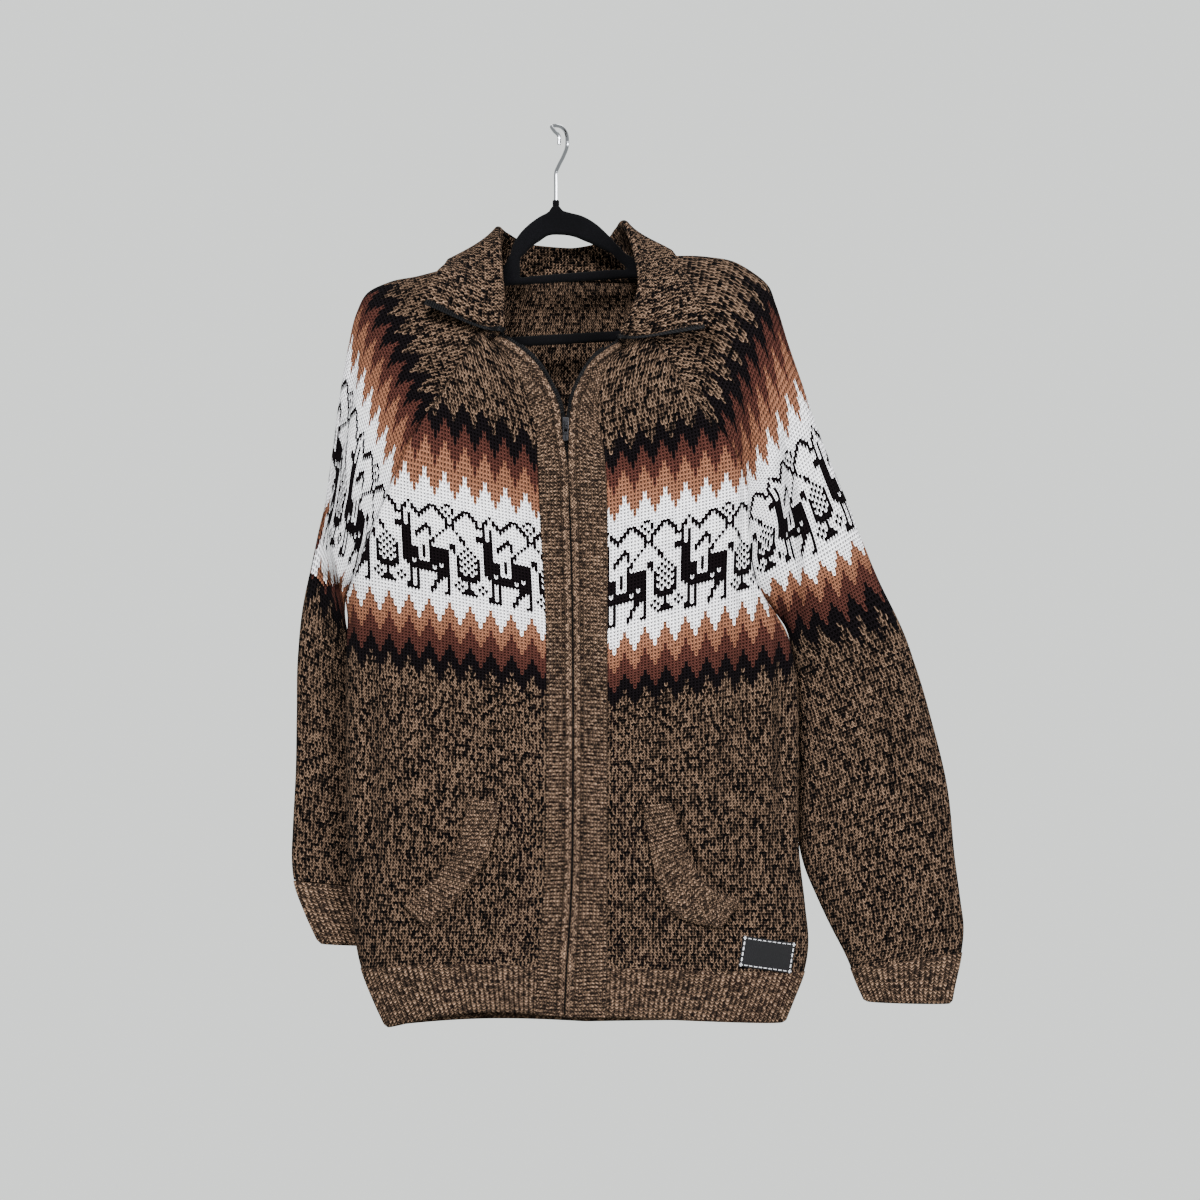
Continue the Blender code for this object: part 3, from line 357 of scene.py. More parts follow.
class Body:
    """The shapes of one side of the garment: its front, its front band and its sleeve."""

    def __init__(self, side: int) -> None:
        """Makes the side's curves.

        Args:
            side: -1 for the left in the picture, 1 for the right.
        """
        self.side = side
        self.tag = "left" if side < 0 else "right"
        self.raglan_front = Track(RAGLAN_FRONT[side])
        self.raglan_back = Track(RAGLAN_BACK[side])
        self.seam = Track(SIDE[side])
        self.band_side = Track(BAND_SIDE[side])
        self.zip_edge = Track(ZIP_EDGE[side])
        self.outer = Track(ARM_OUTER[side])
        self.inner = Track(ARM_INNER[side])
        self.bulge = Track(ARM_BULGE[side])
        self.lift = HEM_LIFT[side]

    def front_row(self, course: float) -> tuple[np.ndarray, np.ndarray]:
        """Where the front's row starts, at the band, and ends, at the raglan or side seam."""
        return self.band_side(course), (self.raglan_front if course < ARMPIT else self.seam)(course)

    def front(self, course: float, share: float) -> Vector:
        """A point of the front panel.

        Args:
            course: how far down it is.
            share: 0 at the band and 1 at the raglan or side seam.

        Returns:
            The point, in millimetres.
        """
        start, end = self.front_row(course)
        turn = share * math.pi / 2
        across = math.sin(turn) ** (2 / BODY_ROUND)
        deep = math.cos(turn) ** (2 / BODY_ROUND)
        x, drop, _ = start + (end - start) * across
        drop -= hem_lift(self.lift, across, course)
        y = end[2] + (start[2] - end[2]) * deep
        y += front_fold(x, drop, y) * min(1.0, 4 * across)
        return Vector((x, y, -drop))

    def band(self, course: float, share: float) -> Vector:
        """A point of the front band.

        Args:
            course: how far down it is.
            share: 0 at the zip and 1 at the panel.

        Returns:
            The point, in millimetres.
        """
        a, b = self.zip_edge(course), self.band_side(course)
        x, drop, y = a + (b - a) * share
        return Vector((x, y - BAND_CROWN * math.sin(math.pi * share), -drop))

    def on_front(self, x: float, drop: float) -> tuple[Vector, Vector]:
        """Finds the front panel at a place in the picture.

        Args:
            x: the place's x.
            drop: its drop.

        Returns:
            The panel's point there and its outward normal.
        """
        course, share = drop - FRONT_START, 0.5
        for _ in range(PLACE_STEPS):
            start, end = self.front_row(course)
            across = min(max((x - start[0]) / (end[0] - start[0]), 0.0), 0.999)
            share = math.asin(across ** (BODY_ROUND / 2)) * 2 / math.pi
            miss = drop + self.front(course, share).z
            course = min(max(course + PLACE_PACE * miss, 0.0), HEM_END)
            if abs(miss) < PLACE_MISS:
                break
        along = self.front(course + 2, share) - self.front(course - 2, share)
        over = self.front(course, min(share + 0.02, 1)) - self.front(course, max(share - 0.02, 0))
        return self.front(course, share), towards_viewer(along.cross(over))

    def sleeve(self, course: float, share: float) -> Vector:
        """A point of the sleeve.

        Args:
            course: how far down it is.
            share: 0 at its front seam, 0.5 on the outside and 1 at its back seam.

        Returns:
            The point, in millimetres.
        """
        outer, bulge = self.outer(course), self.bulge(course)
        if course < ARMPIT:
            seams = self.raglan_front(course), self.raglan_back(course)
        else:
            seams = self.inner(course), self.inner(course)
        behind = share > 0.5
        seam, reach = seams[behind], bulge[int(behind)]
        start = math.asin(min(1.0, abs(seam[2]) / reach)) if course < ARMPIT else 0.0
        turn = start + (math.pi - start) * (2 * (1 - share) if behind else 2 * share)
        across = (math.cos(start) - math.cos(turn)) / (math.cos(start) + 1)
        stand = reach * (math.sin(turn) - math.sin(start) * (1 - across))
        x, drop, y = seam + (outer - seam) * across
        line = outer - (seams[0] + seams[1]) / 2
        away = Vector((-line[2] * self.side, line[0] * self.side)).normalized()
        square = smooth_step((course - SLEEVE_FREE) / SLEEVE_REACH)
        away = away.lerp(Vector((0, 1)), 1 - square).normalized()
        stand = stand if behind else -stand
        x += away.x * stand
        y += away.y * stand
        if not behind:
            y += front_fold(x, drop, y)
        return Vector((x, y, -drop))


class Form:
    """The garment's form: its two sides and its back."""

    def __init__(self) -> None:
        """Makes the sides and the back's depth."""
        self.left, self.right = Body(-1), Body(1)
        self.depth = Track(BACK_DEPTH)

    def back(self, course: float, share: float) -> Vector:
        """A point of the back.

        Args:
            course: how far down it is.
            share: 0 at the left seam and 1 at the right one.

        Returns:
            The point, in millimetres.
        """
        if course < ARMPIT:
            a, b = self.left.raglan_back(course), self.right.raglan_back(course)
        else:
            a, b = self.left.seam(course), self.right.seam(course)
        turn = (share - 0.5) * math.pi
        across = math.copysign(abs(math.sin(turn)) ** (2 / BODY_ROUND), turn)
        deep = max(math.cos(turn), 0.0) ** (2 / BODY_ROUND)
        x, drop, edge = a + (b - a) * (across + 1) / 2
        y = edge + (self.depth(course)[0] - edge) * deep
        drop -= hem_lift(self.left.lift / 2, max(-across, 0.0), course)
        return Vector((x, y - folds_at(x, drop, BACK_FOLDS) * smooth_step(y / FOLD_FADE), -drop))


class Collar:
    """The fold-over collar, from the left front round the neck to the right front."""

    def __init__(self, form: Form) -> None:
        """Takes the form whose neck it is sewn to."""
        self.track = Track(COLLAR)
        self.pieces = {-1: form.left, 0: form, 1: form.right}

    def neck(self, course: float, share: float) -> Vector:
        """A point near the neck seam.

        Args:
            course: how far down from the seam.
            share: how far round it.

        Returns:
            The point, in millimetres.
        """
        first = 0.0
        for last, piece, side, start, end in NECK_PIECES:
            if share <= last:
                break
            first = last
        at = start + (end - start) * (share - first) / (last - first)
        return getattr(self.pieces[side], piece)(course, at)

    def point(self, up: float, share: float) -> Vector:
        """A point of the collar.

        Args:
            up: 0 at the neck seam and 1 at the outer edge, over the fold.
            share: how far round the neck.

        Returns:
            The point, in millimetres.
        """
        row = self.track(share)
        roll, edge = (Vector((row[i], row[i + 2], -row[i + 1])) for i in (0, 3))
        seam = self.neck(0, share)
        seam += (seam - self.neck(6, share)).normalized() * NECK_GAP
        rise = (roll - seam).normalized()
        fall = (edge - roll).normalized()
        out = (fall - rise * fall.dot(rise)).normalized()
        radius = min(ROLL_RADIUS, (roll - seam).length * ROLL_SHARE)
        centre = roll - rise * radius
        if up < ROLL_START:
            return seam.lerp(centre - out * radius, up / ROLL_START)
        if up < ROLL_END:
            turn = math.pi * (up - ROLL_START) / (ROLL_END - ROLL_START)
            return centre + (rise * math.sin(turn) - out * math.cos(turn)) * radius
        t = (up - ROLL_END) / (1 - ROLL_END)
        first = centre + out * radius
        pull = (edge - first).length * FALL_PULL
        second = first - rise * pull * 0.6 + fall * pull * 0.4
        third = edge - fall * pull
        return (
            first * (1 - t) ** 3
            + second * 3 * t * (1 - t) ** 2
            + third * 3 * t * t * (1 - t)
            + edge * t**3
        )


# Columns: first row, course. How the knitted rows are spread over the courses.
ROW_COURSES = (
    (0, 0), (24, 75), (30, 95), (36, 115), (43, 145), (81, 270), (87, 291), (94, 311), (100, 330),
    (193, 628), (213, 692),
)
CHART_TOP = 48  # the row that the chart's first line is knitted in
# One repeat of the yoke's chart: a llama, a tree, mountains and flowers, as charted for hand knitting.
CHART = (
    "..............##........",
    "...#.....###.#..#..###..",
    "..#.#...##.##.#.#.##.##.",
    ".##.##.##...##.#.##...##",
    ".#...###.....##.##.....#",
    "##.#..#.......#.#......#",
    ".#.#..........###.......",
    ".#.#....#.....#.#.......",
    "##.#...###...#...#.....#",
    "####..##.#..#.....#....#",
    ".###.##..#.#......##....",
    ".###.#....#........#....",
    ".###.....##....##...#...",
    ".###.....#.....##..#.#..",
    ".###...#.######.#.#.#.#.",
    ".#####.#.######..#.#.#.#",
    ".#####.#.######..##.#.##",
    ".#####.#.######..#.#.#.#",
    ".#####...######..##.#.##",
    ".###.#######.##..#.#.#.#",
    "..########.####..##.#.##",
    "...############..#######",
    "...#.#.....####...#####.",
    "#..#.#.....##.#..#..#...",
    ".#.#.#....##..#.#.#.#..#",
    "#..#.#....#...#..#.###..",
    "..##.#...##...#...#####.",
    "..####...#...##.........",
)
# Where one yarn gives way to the next in the yoke: row, then the yarn below it.
YOKE_BANDS = (
    (24, "BLACK"), (30, "RUST"), (36, "TAN"), (43, "WHITE"), (81, "TAN"), (87, "RUST"), (94, "BLACK"),
    (100, "MARL"),
)
GROOVE_SHADE = 0.88  # how much darker the yarn looks at the bottom of a groove
GROOVE_SINK = 0.6  # how far a groove sinks below the plain cloth, as a share of the ribs' height
INNER_SHADE = 0.6  # painted shade: how bright the inner side of a thick piece is painted
RIB_MARL = 0.93  # how much of the marl's dark ply the ribs show
RIB_TOP_HIGHLIGHT = 1.4  # painted highlight: how much lighter the top of a rib is painted than plain knitting
LEG_LEAN = 0.32  # how far a stitch's middle hangs below its sides, in rows
SPIKE_REPEAT = 6
SPIKE_STEPS = (-3, -1, 1, 3)  # rows that a band's edge rises or falls, by columns from a spike's tip
SPIKE_TIP = 2  # the chart column of the first tip
PANEL_MERGE = 2e-5  # how close a panel's points are one point, in metres
WALL_MERGE = 1e-5
MOULDING_MERGE = 0.01  # the same for the hanger's frame, in millimetres
SHARP = 40  # degrees past which a hard piece's edge stays sharp


def linear(code: str) -> tuple[float, float, float]:
    """Turns a six-digit sRGB colour into linear RGB."""
    parts = [int(code[i : i + 2], 16) / 255 for i in (0, 2, 4)]
    return tuple(p / 12.92 if p <= 0.04045 else ((p + 0.055) / 1.055) ** 2.4 for p in parts)


class Yarn(Enum):
    """The alpaca yarns, by their colour."""

    MARL = "665243"
    TAN = "764e3b"
    RUST = "3e231e"
    BLACK = "0b080a"
    WHITE = "f4f3f7"
    MOTIF = "0b0709"

    @property
    def colour(self) -> tuple[float, float, float]:
        """The yarn's linear RGB."""
        return linear(self.value)


def yoke_yarn(column: int, row: int) -> Yarn:
    """Finds the yarn of one stitch of the patterned yoke.

    Args:
        column: the stitch's place in the chart, left to right as seen from outside.
        row: the knitted row, counted from the neck.

    Returns:
        The yarn that the stitch is knitted in.
    """
    off = abs((column - SPIKE_TIP + SPIKE_REPEAT // 2) % SPIKE_REPEAT - SPIKE_REPEAT // 2)
    yarn = Yarn.MARL
    for edge, name in YOKE_BANDS:
        if row >= edge + SPIKE_STEPS[off]:
            yarn = Yarn[name]
    line = row - CHART_TOP
    if 0 <= line < len(CHART) and CHART[line][column % len(CHART[line])] == "#":
        return Yarn.MOTIF
    return yarn


def course_of(row: float) -> float:
    """The course at which a knitted row starts."""
    rows, courses = zip(*ROW_COURSES)
    return float(np.interp(row, rows, courses))


def row_of(course: float) -> int:
    """The knitted row at a course."""
    rows, courses = zip(*ROW_COURSES)
    return round(float(np.interp(course, courses, rows)))


@dataclass(frozen=True)
class Strip:
    """Points along one knitted row, by their distance from the row's anchor."""

    along: np.ndarray
    points: np.ndarray

    def at(self, places: np.ndarray) -> np.ndarray:
        """Points at these distances, held at the row's ends."""
        return np.stack([np.interp(places, self.along, self.points[:, i]) for i in range(3)], 1)


def strip_of(point: Point, course: float, anchor: float, samples: int) -> Strip:
    """Samples a row of a surface and measures it from the anchor.

    Args:
        point: the surface, by course and share.
        course: the row's course.
        anchor: the share that distances are measured from.
        samples: how many steps the row is sampled in.

    Returns:
        The measured row, in millimetres.
    """
    shares = np.linspace(0, 1, samples + 1)
    points = np.array([point(course, share) for share in shares])
    along = np.concatenate([[0], np.cumsum(np.linalg.norm(np.diff(points, axis=0), axis=1))])
    return Strip(along - np.interp(anchor, shares, along), points)


def grid_object(name: str, places: np.ndarray, uv: np.ndarray, colours: np.ndarray) -> Mesh:
    """Makes a grid mesh whose vertices stand at the given places.

    Args:
        name: the mesh's name.
        places: rows by columns by 3, in millimetres.
        uv: rows by columns by 2.
        colours: a linear colour for each cell, rows - 1 by columns - 1 by 4.

    Returns:
        The mesh, in metres.
    """
    rows, columns = places.shape[:2]
    bm = bmesh.new()
    bmesh.ops.create_grid(bm, x_segments=columns - 1, y_segments=rows - 1, size=0.5)
    mesh = bpy.data.meshes.new(name)
    bm.to_mesh(mesh)
    bm.free()
    mesh.vertices.foreach_set("co", (places.reshape(-1, 3) * MM).astype(np.float32).ravel())
    corner = np.zeros(len(mesh.loops), np.int32)
    mesh.loops.foreach_get("vertex_index", corner)
    layer = mesh.uv_layers.new(name="stitches")
    layer.data.foreach_set("uv", uv.reshape(-1, 2)[corner].astype(np.float32).ravel())
    first = corner.reshape(-1, 4).min(1)
    cell = (first // columns) * (columns - 1) + first % columns
    layer = mesh.color_attributes.new("yarn", "BYTE_COLOR", "CORNER")
    each = np.repeat(colours.reshape(-1, 4)[cell], 4, axis=0)
    layer.data.foreach_set("color", each.astype(np.float32).ravel())
    return mesh


def mesh_of(name: str, bm: BMesh) -> Mesh:
    """Makes a smooth-shaded mesh of a bmesh, which is freed."""
    mesh = bpy.data.meshes.new(name)
    bm.to_mesh(mesh)
    bm.free()
    mesh.shade_smooth()
    return mesh


def join_layers(name: str, meshes: Sequence[Mesh]) -> Mesh:
    """Joins a panel's layers, closes what coincides and drops empty faces.

    Args:
        name: the joined mesh's name.
        meshes: the layers, which are removed.

    Returns:
        The joined mesh, shaded smooth.
    """
    bm = bmesh.new()
    for mesh in meshes:
        bm.from_mesh(mesh)
        bpy.data.meshes.remove(mesh)
    bmesh.ops.remove_doubles(bm, verts=bm.verts, dist=PANEL_MERGE)
    bmesh.ops.dissolve_degenerate(bm, edges=bm.edges, dist=PANEL_MERGE)
    return mesh_of(name, bm)


def grid_normals(places: np.ndarray, outside: Vector) -> np.ndarray:
    """Unit normals of a grid of points, turned to the side that outside names.

    Args:
        places: rows by columns by 3.
        outside: a direction out of the cloth, at the grid's middle.

    Returns:
        Rows by columns by 3.
    """
    normals = np.cross(np.gradient(places, axis=0), np.gradient(places, axis=1))
    size = np.linalg.norm(normals, axis=2, keepdims=True)
    normals = normals / np.maximum(size, 1e-9)
    middle = normals[places.shape[0] // 2, places.shape[1] // 2]
    return normals if Vector(middle).dot(outside) > 0 else -normals


def cloth_object(name: str, mesh: Mesh, finish: Material) -> Object:
    """Links a mesh as an object with one finish.

    Args:
        name: the object's name.
        mesh: its mesh.
        finish: its material.

    Returns:
        The object.
    """
    made = bpy.data.objects.new(name, mesh)
    mesh.materials.clear()
    mesh.materials.append(finish)
    bpy.context.scene.collection.objects.link(made)
    return made


@dataclass
class KnitPanel:
    """A plain-knit panel, made leg by leg on its form.

    Its seams are drawn in a little, as a sewn edge is. Where the inside of the garment shows, a second
    layer gives the cloth its thickness and its purl side.
    """

    name: str
    point: Point
    outside: Vector
    last_row: int
    anchor: float  # the share that the chart's columns are counted from
    first_column: float  # the chart's column there
    direction: int
    rests_on: tuple[str, ...]
    inside_rows: int
    shift: Callable[[int, float], float] | None = None
    pressed: Callable[[np.ndarray], np.ndarray] | None = None
    samples: int = 72
    seam_depth: float = 0.9
    seam_width: float = 2.2
    inner_samples: int = 48
    inner_rows: int = 3  # how many knitted rows one of the inner layer's spans

    def build(self, finish: Material, purl: Material) -> Object:
        """Makes the panel.

        Args:
            finish: the knit's right side.
            purl: the knit's wrong side, for the inner layer.

        Returns:
            The panel, which stands for its solid.
        """
        strips = [
            strip_of(self.point, course_of(row), self.anchor, self.samples)
            for row in range(self.last_row + 1)
        ]
        low = min(s.along[0] for s in strips)
        high = max(s.along[-1] for s in strips)
        legs = np.arange(math.floor(low / LEG), math.ceil(high / LEG) + 1)
        places = np.stack([s.at(legs * LEG) for s in strips])
        places -= self.seam_dip(strips, legs)[..., None] * grid_normals(places, self.outside)
        if self.pressed:
            places = self.pressed(places)
        places = self.lean_legs(places, legs)
        uv = np.stack(np.meshgrid(legs, np.arange(self.last_row + 1)), 2).astype(float)
        mesh = grid_object(self.name, places, uv, self.colours(strips, legs))
        area = sum(face.area for face in mesh.polygons)
        made = cloth_object(self.name, join_layers(self.name, [mesh, self.inner_layer(strips)]), finish)
        made.data.materials.append(purl)
        width = max(s.along[-1] - s.along[0] for s in strips) * MM
        length = max(course_of(self.last_row) * MM, area / width)
        list(self.rests_on)
        return made

    def seam_dip(self, strips: list[Strip], legs: np.ndarray) -> np.ndarray:
        """How far each point sinks beside the panel's seams.

        Args:
            strips: the panel's rows.
            legs: the number of each leg.

        Returns:
            Rows by legs, in millimetres.
        """
        at = legs * LEG
        dips = [
            sum(np.exp(-(((at - end) / self.seam_width) ** 2)) for end in (s.along[0], s.along[-1]))
            for s in strips
        ]
        return np.minimum(np.stack(dips), 1.0) * self.seam_depth

    @staticmethod
    def lean_legs(places: np.ndarray, legs: np.ndarray) -> np.ndarray:
        """Draws the middle of every stitch down, so its two legs form a V.

        Args:
            places: rows by legs by 3.
            legs: the number of each leg.

        Returns:
            The moved places.
        """
        lean = np.zeros(places.shape[:2])
        lean[1:-1, legs % 2 == 0] = LEG_LEAN
        lean = lean[..., None]
        below = np.concatenate([places[1:], places[-1:]])
        return places * (1 - lean) + below * lean

    def colours(self, strips: list[Strip], legs: np.ndarray) -> np.ndarray:
        """Knits the chart.

        Args:
            strips: the panel's rows.
            legs: the number of each leg.

        Returns:
            The colour of each leg, and in its alpha how much of the marl's dark ply it holds.
        """
        rows = len(strips) - 1
        table = np.zeros((rows, len(legs) - 1, 4))
        for row in range(rows):
            span = strips[row].along
            for number, leg in enumerate(legs[:-1]):
                across = (leg + 0.5) * LEG
                knitted = row
                if self.shift:
                    share = min(max((across - span[0]) / (span[-1] - span[0]), 0.0), 1.0)
                    knitted = round(row + self.shift(row, share))
                column = math.floor(self.first_column + self.direction * across / (2 * LEG))
                yarn = yoke_yarn(column, knitted)
                table[row, number] = (*yarn.colour, 1.0 if yarn is Yarn.MARL else 0.0)
        return table

    def inner_layer(self, strips: list[Strip]) -> Mesh:
        """Makes the cloth's inner side over the first rows, a thickness inwards.

        Args:
            strips: the panel's rows.

        Returns:
            The layer, in the panel's second material.
        """
        rows = list(range(0, self.inside_rows + 1, self.inner_rows))
        ends = [(strips[row].along[0], strips[row].along[-1]) for row in rows]
        spans = [np.linspace(*span, self.inner_samples + 1) for span in ends]
        places = np.stack([strips[row].at(span) for row, span in zip(rows, spans)])
        places -= grid_normals(places, self.outside) * CLOTH
        across = np.linspace(-1, 1, self.inner_samples + 1) * (ends[0][1] - ends[0][0])
        uv = np.stack(np.meshgrid(across / LEG, rows), 2).astype(float)
        marl = np.tile(np.array([*Yarn.MARL.colour, 1.0]), (len(rows) - 1, self.inner_samples, 1))
        mesh = grid_object(self.name + "_inner", places, uv, marl)
        mesh.flip_normals()
        for face in mesh.polygons:
            face.material_index = 1
        return mesh


class Raise(Enum):
    """How a thick piece's outer face is worked."""

    PLAIN = "plain"
    RIBS_DOWN = "ribs down"
    RIBS_ACROSS = "ribs across"


@dataclass
class KnitWall:
    """A thick, closed piece of knitting with a worked outer face and rounded edges."""

    name: str
    point: Point
    outside: Vector
    first: float
    last: float
    steps_down: int
    steps_across: int
    rests_on: tuple[str, ...]
    work: Raise = Raise.PLAIN
    pitch: float = RIB_PITCH
    height: float = RIB_RAISE
    cloth: float = RIB_CLOTH
    edge: float = 1.4
    tube: bool = False
    held: str = "hung"

    def build(self, finish: Material) -> Object:
        """Makes the piece.

        Args:
            finish: the piece's knit.

        Returns:
            The piece, which stands for its solid.
        """
        downs = np.linspace(self.first, self.last, self.steps_down + 1)
        strips = [self.evened(strip_of(self.point, down, 0.0, self.steps_across)) for down in downs]
        places = np.stack([s.points for s in strips])
        across = np.stack([s.along for s in strips])
        steps = np.linalg.norm(np.diff(places, axis=0), axis=2)
        down = np.concatenate([np.zeros((1, places.shape[1])), np.cumsum(steps, axis=0)])
        normals = grid_normals(places, self.outside)
        if self.tube:
            joint = normals[:, 0] + normals[:, -1]
            joint /= np.linalg.norm(joint, axis=1, keepdims=True)
            normals[:, 0] = normals[:, -1] = joint
        uv = self.stitches(across, down)
        raised = self.worked(across, down)
        outer = places + normals * self.relief(raised, across, down)[..., None]
        inner = places - normals * self.cloth
        # The outer face carries the grooves' painted shade and the ribs' painted highlight, the inner face
        # an even painted shade.
        made = cloth_object(self.name, self.close([
            grid_object(f"{self.name}_outer", outer, uv, self.shades(self.lit(raised))),
            grid_object(f"{self.name}_inner", inner, uv, self.shades(np.full_like(raised, INNER_SHADE))),
        ]), finish)
        list(self.rests_on)
        return made

    def evened(self, strip: Strip) -> Strip:
        """Spaces a row's points evenly, so that ribs which run down it all get their shape."""
        if self.work is not Raise.RIBS_DOWN:
            return strip
        marks = np.linspace(0, strip.along[-1], self.steps_across + 1)
        return Strip(marks, strip.at(marks))

    def turns(self, across: np.ndarray, down: np.ndarray) -> np.ndarray:
        """Counts the ribs before each point; a rib is highest at every whole number.

        Args:
            across: each point's distance along its row.
            down: its distance down the piece.

        Returns:
            The count, rows by columns.
        """
        if self.work is Raise.RIBS_DOWN:
            return round(float(across[:, -1].mean()) / self.pitch) * across / across[:, -1:]
        return np.broadcast_to(down.mean(1, keepdims=True) / self.pitch, across.shape)

    def stitches(self, across: np.ndarray, down: np.ndarray) -> np.ndarray:
        """Maps the knitting, with one stitch on each rib.

        Args:
            across: each point's distance along its row.
            down: its distance down the piece.

        Returns:
            The map in legs and rows.
        """
        legs = across / across[:, -1:] * across[:, -1].mean() / LEG
        rows = np.broadcast_to(down.mean(1, keepdims=True) / ROW, legs.shape)
        if self.work is Raise.RIBS_DOWN:
            legs = self.turns(across, down) * 2
        elif self.work is Raise.RIBS_ACROSS:
            rows = self.turns(across, down) * 2 * LEG / ROW
        return np.stack([legs, rows], 2)

    def worked(self, across: np.ndarray, down: np.ndarray) -> np.ndarray:
        """Works the ribs.

        Args:
            across: each point's distance along its row.
            down: its distance down the piece.

        Returns:
            How raised each point is, from 0 in a groove to 1 on a rib.
        """
        if self.work is Raise.PLAIN:
            return np.full_like(across, GROOVE_SINK / (1 + GROOVE_SINK))
        return (0.5 + 0.5 * np.cos(2 * math.pi * self.turns(across, down))) ** 1.2

    def relief(self, raised: np.ndarray, across: np.ndarray, down: np.ndarray) -> np.ndarray:
        """Adds the ribs and the rounded edges.

        Args:
            raised: how raised the work is.
            across: each point's distance along its row.
            down: its distance down the piece.

        Returns:
            How far the outer face stands off, in millimetres.
        """
        to_end = down[-1:] - down
        if self.work is not Raise.RIBS_DOWN:
            to_end = np.minimum(to_end, down)
        if not self.tube:
            to_end = np.minimum(to_end, np.minimum(across, across[:, -1:] - across))
        fall = np.clip(1 - to_end / self.edge, 0, 1)
        round_off = (1 - np.sqrt(1 - fall**2)) * self.edge
        return self.height * (raised * (1 + GROOVE_SINK) - GROOVE_SINK) * (1 - fall) - round_off

    def lit(self, raised: np.ndarray) -> np.ndarray:
        """Paints the yarn's highlight on the ribs' tops and its shade down in the grooves, where little
        light comes.
        """
        if self.work is Raise.PLAIN:
            return np.ones_like(raised)
        return RIB_TOP_HIGHLIGHT * (1 - GROOVE_SHADE * (1 - np.minimum(raised, 1)) ** 1.5)

    def shades(self, lit: np.ndarray) -> np.ndarray:
        """Shades the marl.

        Args:
            lit: how bright each point looks.

        Returns:
            The marl's colour in each cell, and in its alpha how much dark ply it holds.
        """
        cells = (lit[1:, 1:] + lit[:-1, 1:] + lit[1:, :-1] + lit[:-1, :-1]) / 4
        ply = 1.0 if self.work is Raise.PLAIN else RIB_MARL
        yarn = cells[..., None] * np.array(Yarn.MARL.colour)
        return np.concatenate([yarn, np.full((*cells.shape, 1), ply)], 2)

    def close(self, layers: list[Mesh]) -> Mesh:
        """Joins the two faces with a rim, or with two rims on a tube.

        Args:
            layers: the outer and the inner face, which are removed.

        Returns:
            The closed mesh, shaded smooth.
        """
        bm = bmesh.new()
        bm.from_mesh(layers[0])
        bmesh.ops.recalc_face_normals(bm, faces=bm.faces)
        outer_faces = set(bm.faces)
        count = len(bm.verts)
        bm.from_mesh(layers[1])
        bm.verts.ensure_lookup_table()
        twin = {bm.verts[i]: bm.verts[i + count] for i in range(count)}
        uv, yarn = bm.loops.layers.uv.active, bm.loops.layers.color.active
        rim = [e for e in bm.edges if e.is_boundary and e.link_faces[0] in outer_faces]
        if self.tube:
            seam = self.seam_edges(bm, count)
            rim = [e for e in rim if e not in seam]
        for edge in rim:
            loop = edge.link_loops[0]
            a, b = loop.vert, loop.link_loop_next.vert
            face = bm.faces.new((b, a, twin[a], twin[b]))
            for corner in face.loops:
                source = loop if corner.vert in (a, twin[a]) else loop.link_loop_next
                corner[uv].uv, corner[yarn] = source[uv].uv, source[yarn]
        for mesh in layers:
            bpy.data.meshes.remove(mesh)
        bmesh.ops.remove_doubles(bm, verts=bm.verts, dist=WALL_MERGE)
        bmesh.ops.recalc_face_normals(bm, faces=bm.faces)
        return mesh_of(self.name, bm)

    def seam_edges(self, bm: BMesh, count: int) -> set[BMEdge]:
        """Finds the outer face's two edges that a tube's seam joins.

        Args:
            bm: the mesh of both faces.
            count: how many vertices the outer face has.

        Returns:
            The edges.
        """
        columns = self.steps_across + 1
        ends = {bm.verts[i] for i in range(count) if i % columns in (0, columns - 1)}
        return {e for v in ends for e in v.link_edges if e.verts[0] in ends and e.verts[1] in ends}


class Tree:
    """Adds and links shader nodes in few words."""

    def __init__(self, tree: NodeTree) -> None:
        """Takes the node tree that it works on."""
        self.tree = tree

    def add(self, kind: str, **settings: object) -> Node:
        """Adds a node and sets its properties."""
        node = self.tree.nodes.new(kind)
        for key, value in settings.items():
            setattr(node, key, value)
        return node

    def put(self, socket: NodeSocket, value: object) -> None:
        """Links a socket to another's output, or gives it a plain value."""
        if isinstance(value, NodeSocket):
            self.tree.links.new(value, socket)
        else:
            socket.default_value = value

    def feed(self, node: Node, *values: object) -> Node:
        """Fills a node's first sockets in order."""
        for socket, value in zip(node.inputs, values):
            self.put(socket, value)
        return node

    def math(self, operation: str, *values: object) -> NodeSocket:
        """The result of a Math node."""
        return self.feed(self.add("ShaderNodeMath", operation=operation), *values).outputs[0]

    def spread(self, value: object, low: float, high: float, start: float = 0.0,
               end: float = 1.0) -> NodeSocket:
        """Maps a value from low and high to start and end, smoothly, and holds it there."""
        node = self.add("ShaderNodeMapRange", interpolation_type="SMOOTHSTEP")
        return self.feed(node, value, low, high, start, end).outputs[0]

    def blend(self, factor: object, first: object, second: object, kind: str = "MIX") -> NodeSocket:
        """Mixes two colours."""
        node = self.add("ShaderNodeMix", data_type="RGBA", blend_type=kind)
        self.put(node.inputs[0], factor)
        for socket, value in zip((node.inputs[6], node.inputs[7]), (first, second)):
            self.put(socket, (*value, 1) if isinstance(value, tuple) and len(value) == 3 else value)
        return node.outputs[2]

    def noise(self, vector: object, scale: object, detail: float, distortion: float = 0.0) -> NodeSocket:
        """The value of a Noise Texture."""
        node = self.add("ShaderNodeTexNoise")
        named = {"Vector": vector, "Scale": scale, "Detail": detail, "Distortion": distortion}
        for socket, value in named.items():
            self.put(node.inputs[socket], value)
        return node.outputs["Fac"]

    def group(self, tree: NodeTree, **inputs: object) -> Node:
        """Places a node group with these inputs."""
        node = self.add("ShaderNodeGroup", node_tree=tree)
        for key, value in inputs.items():
            self.put(node.inputs[key], value)
        return node


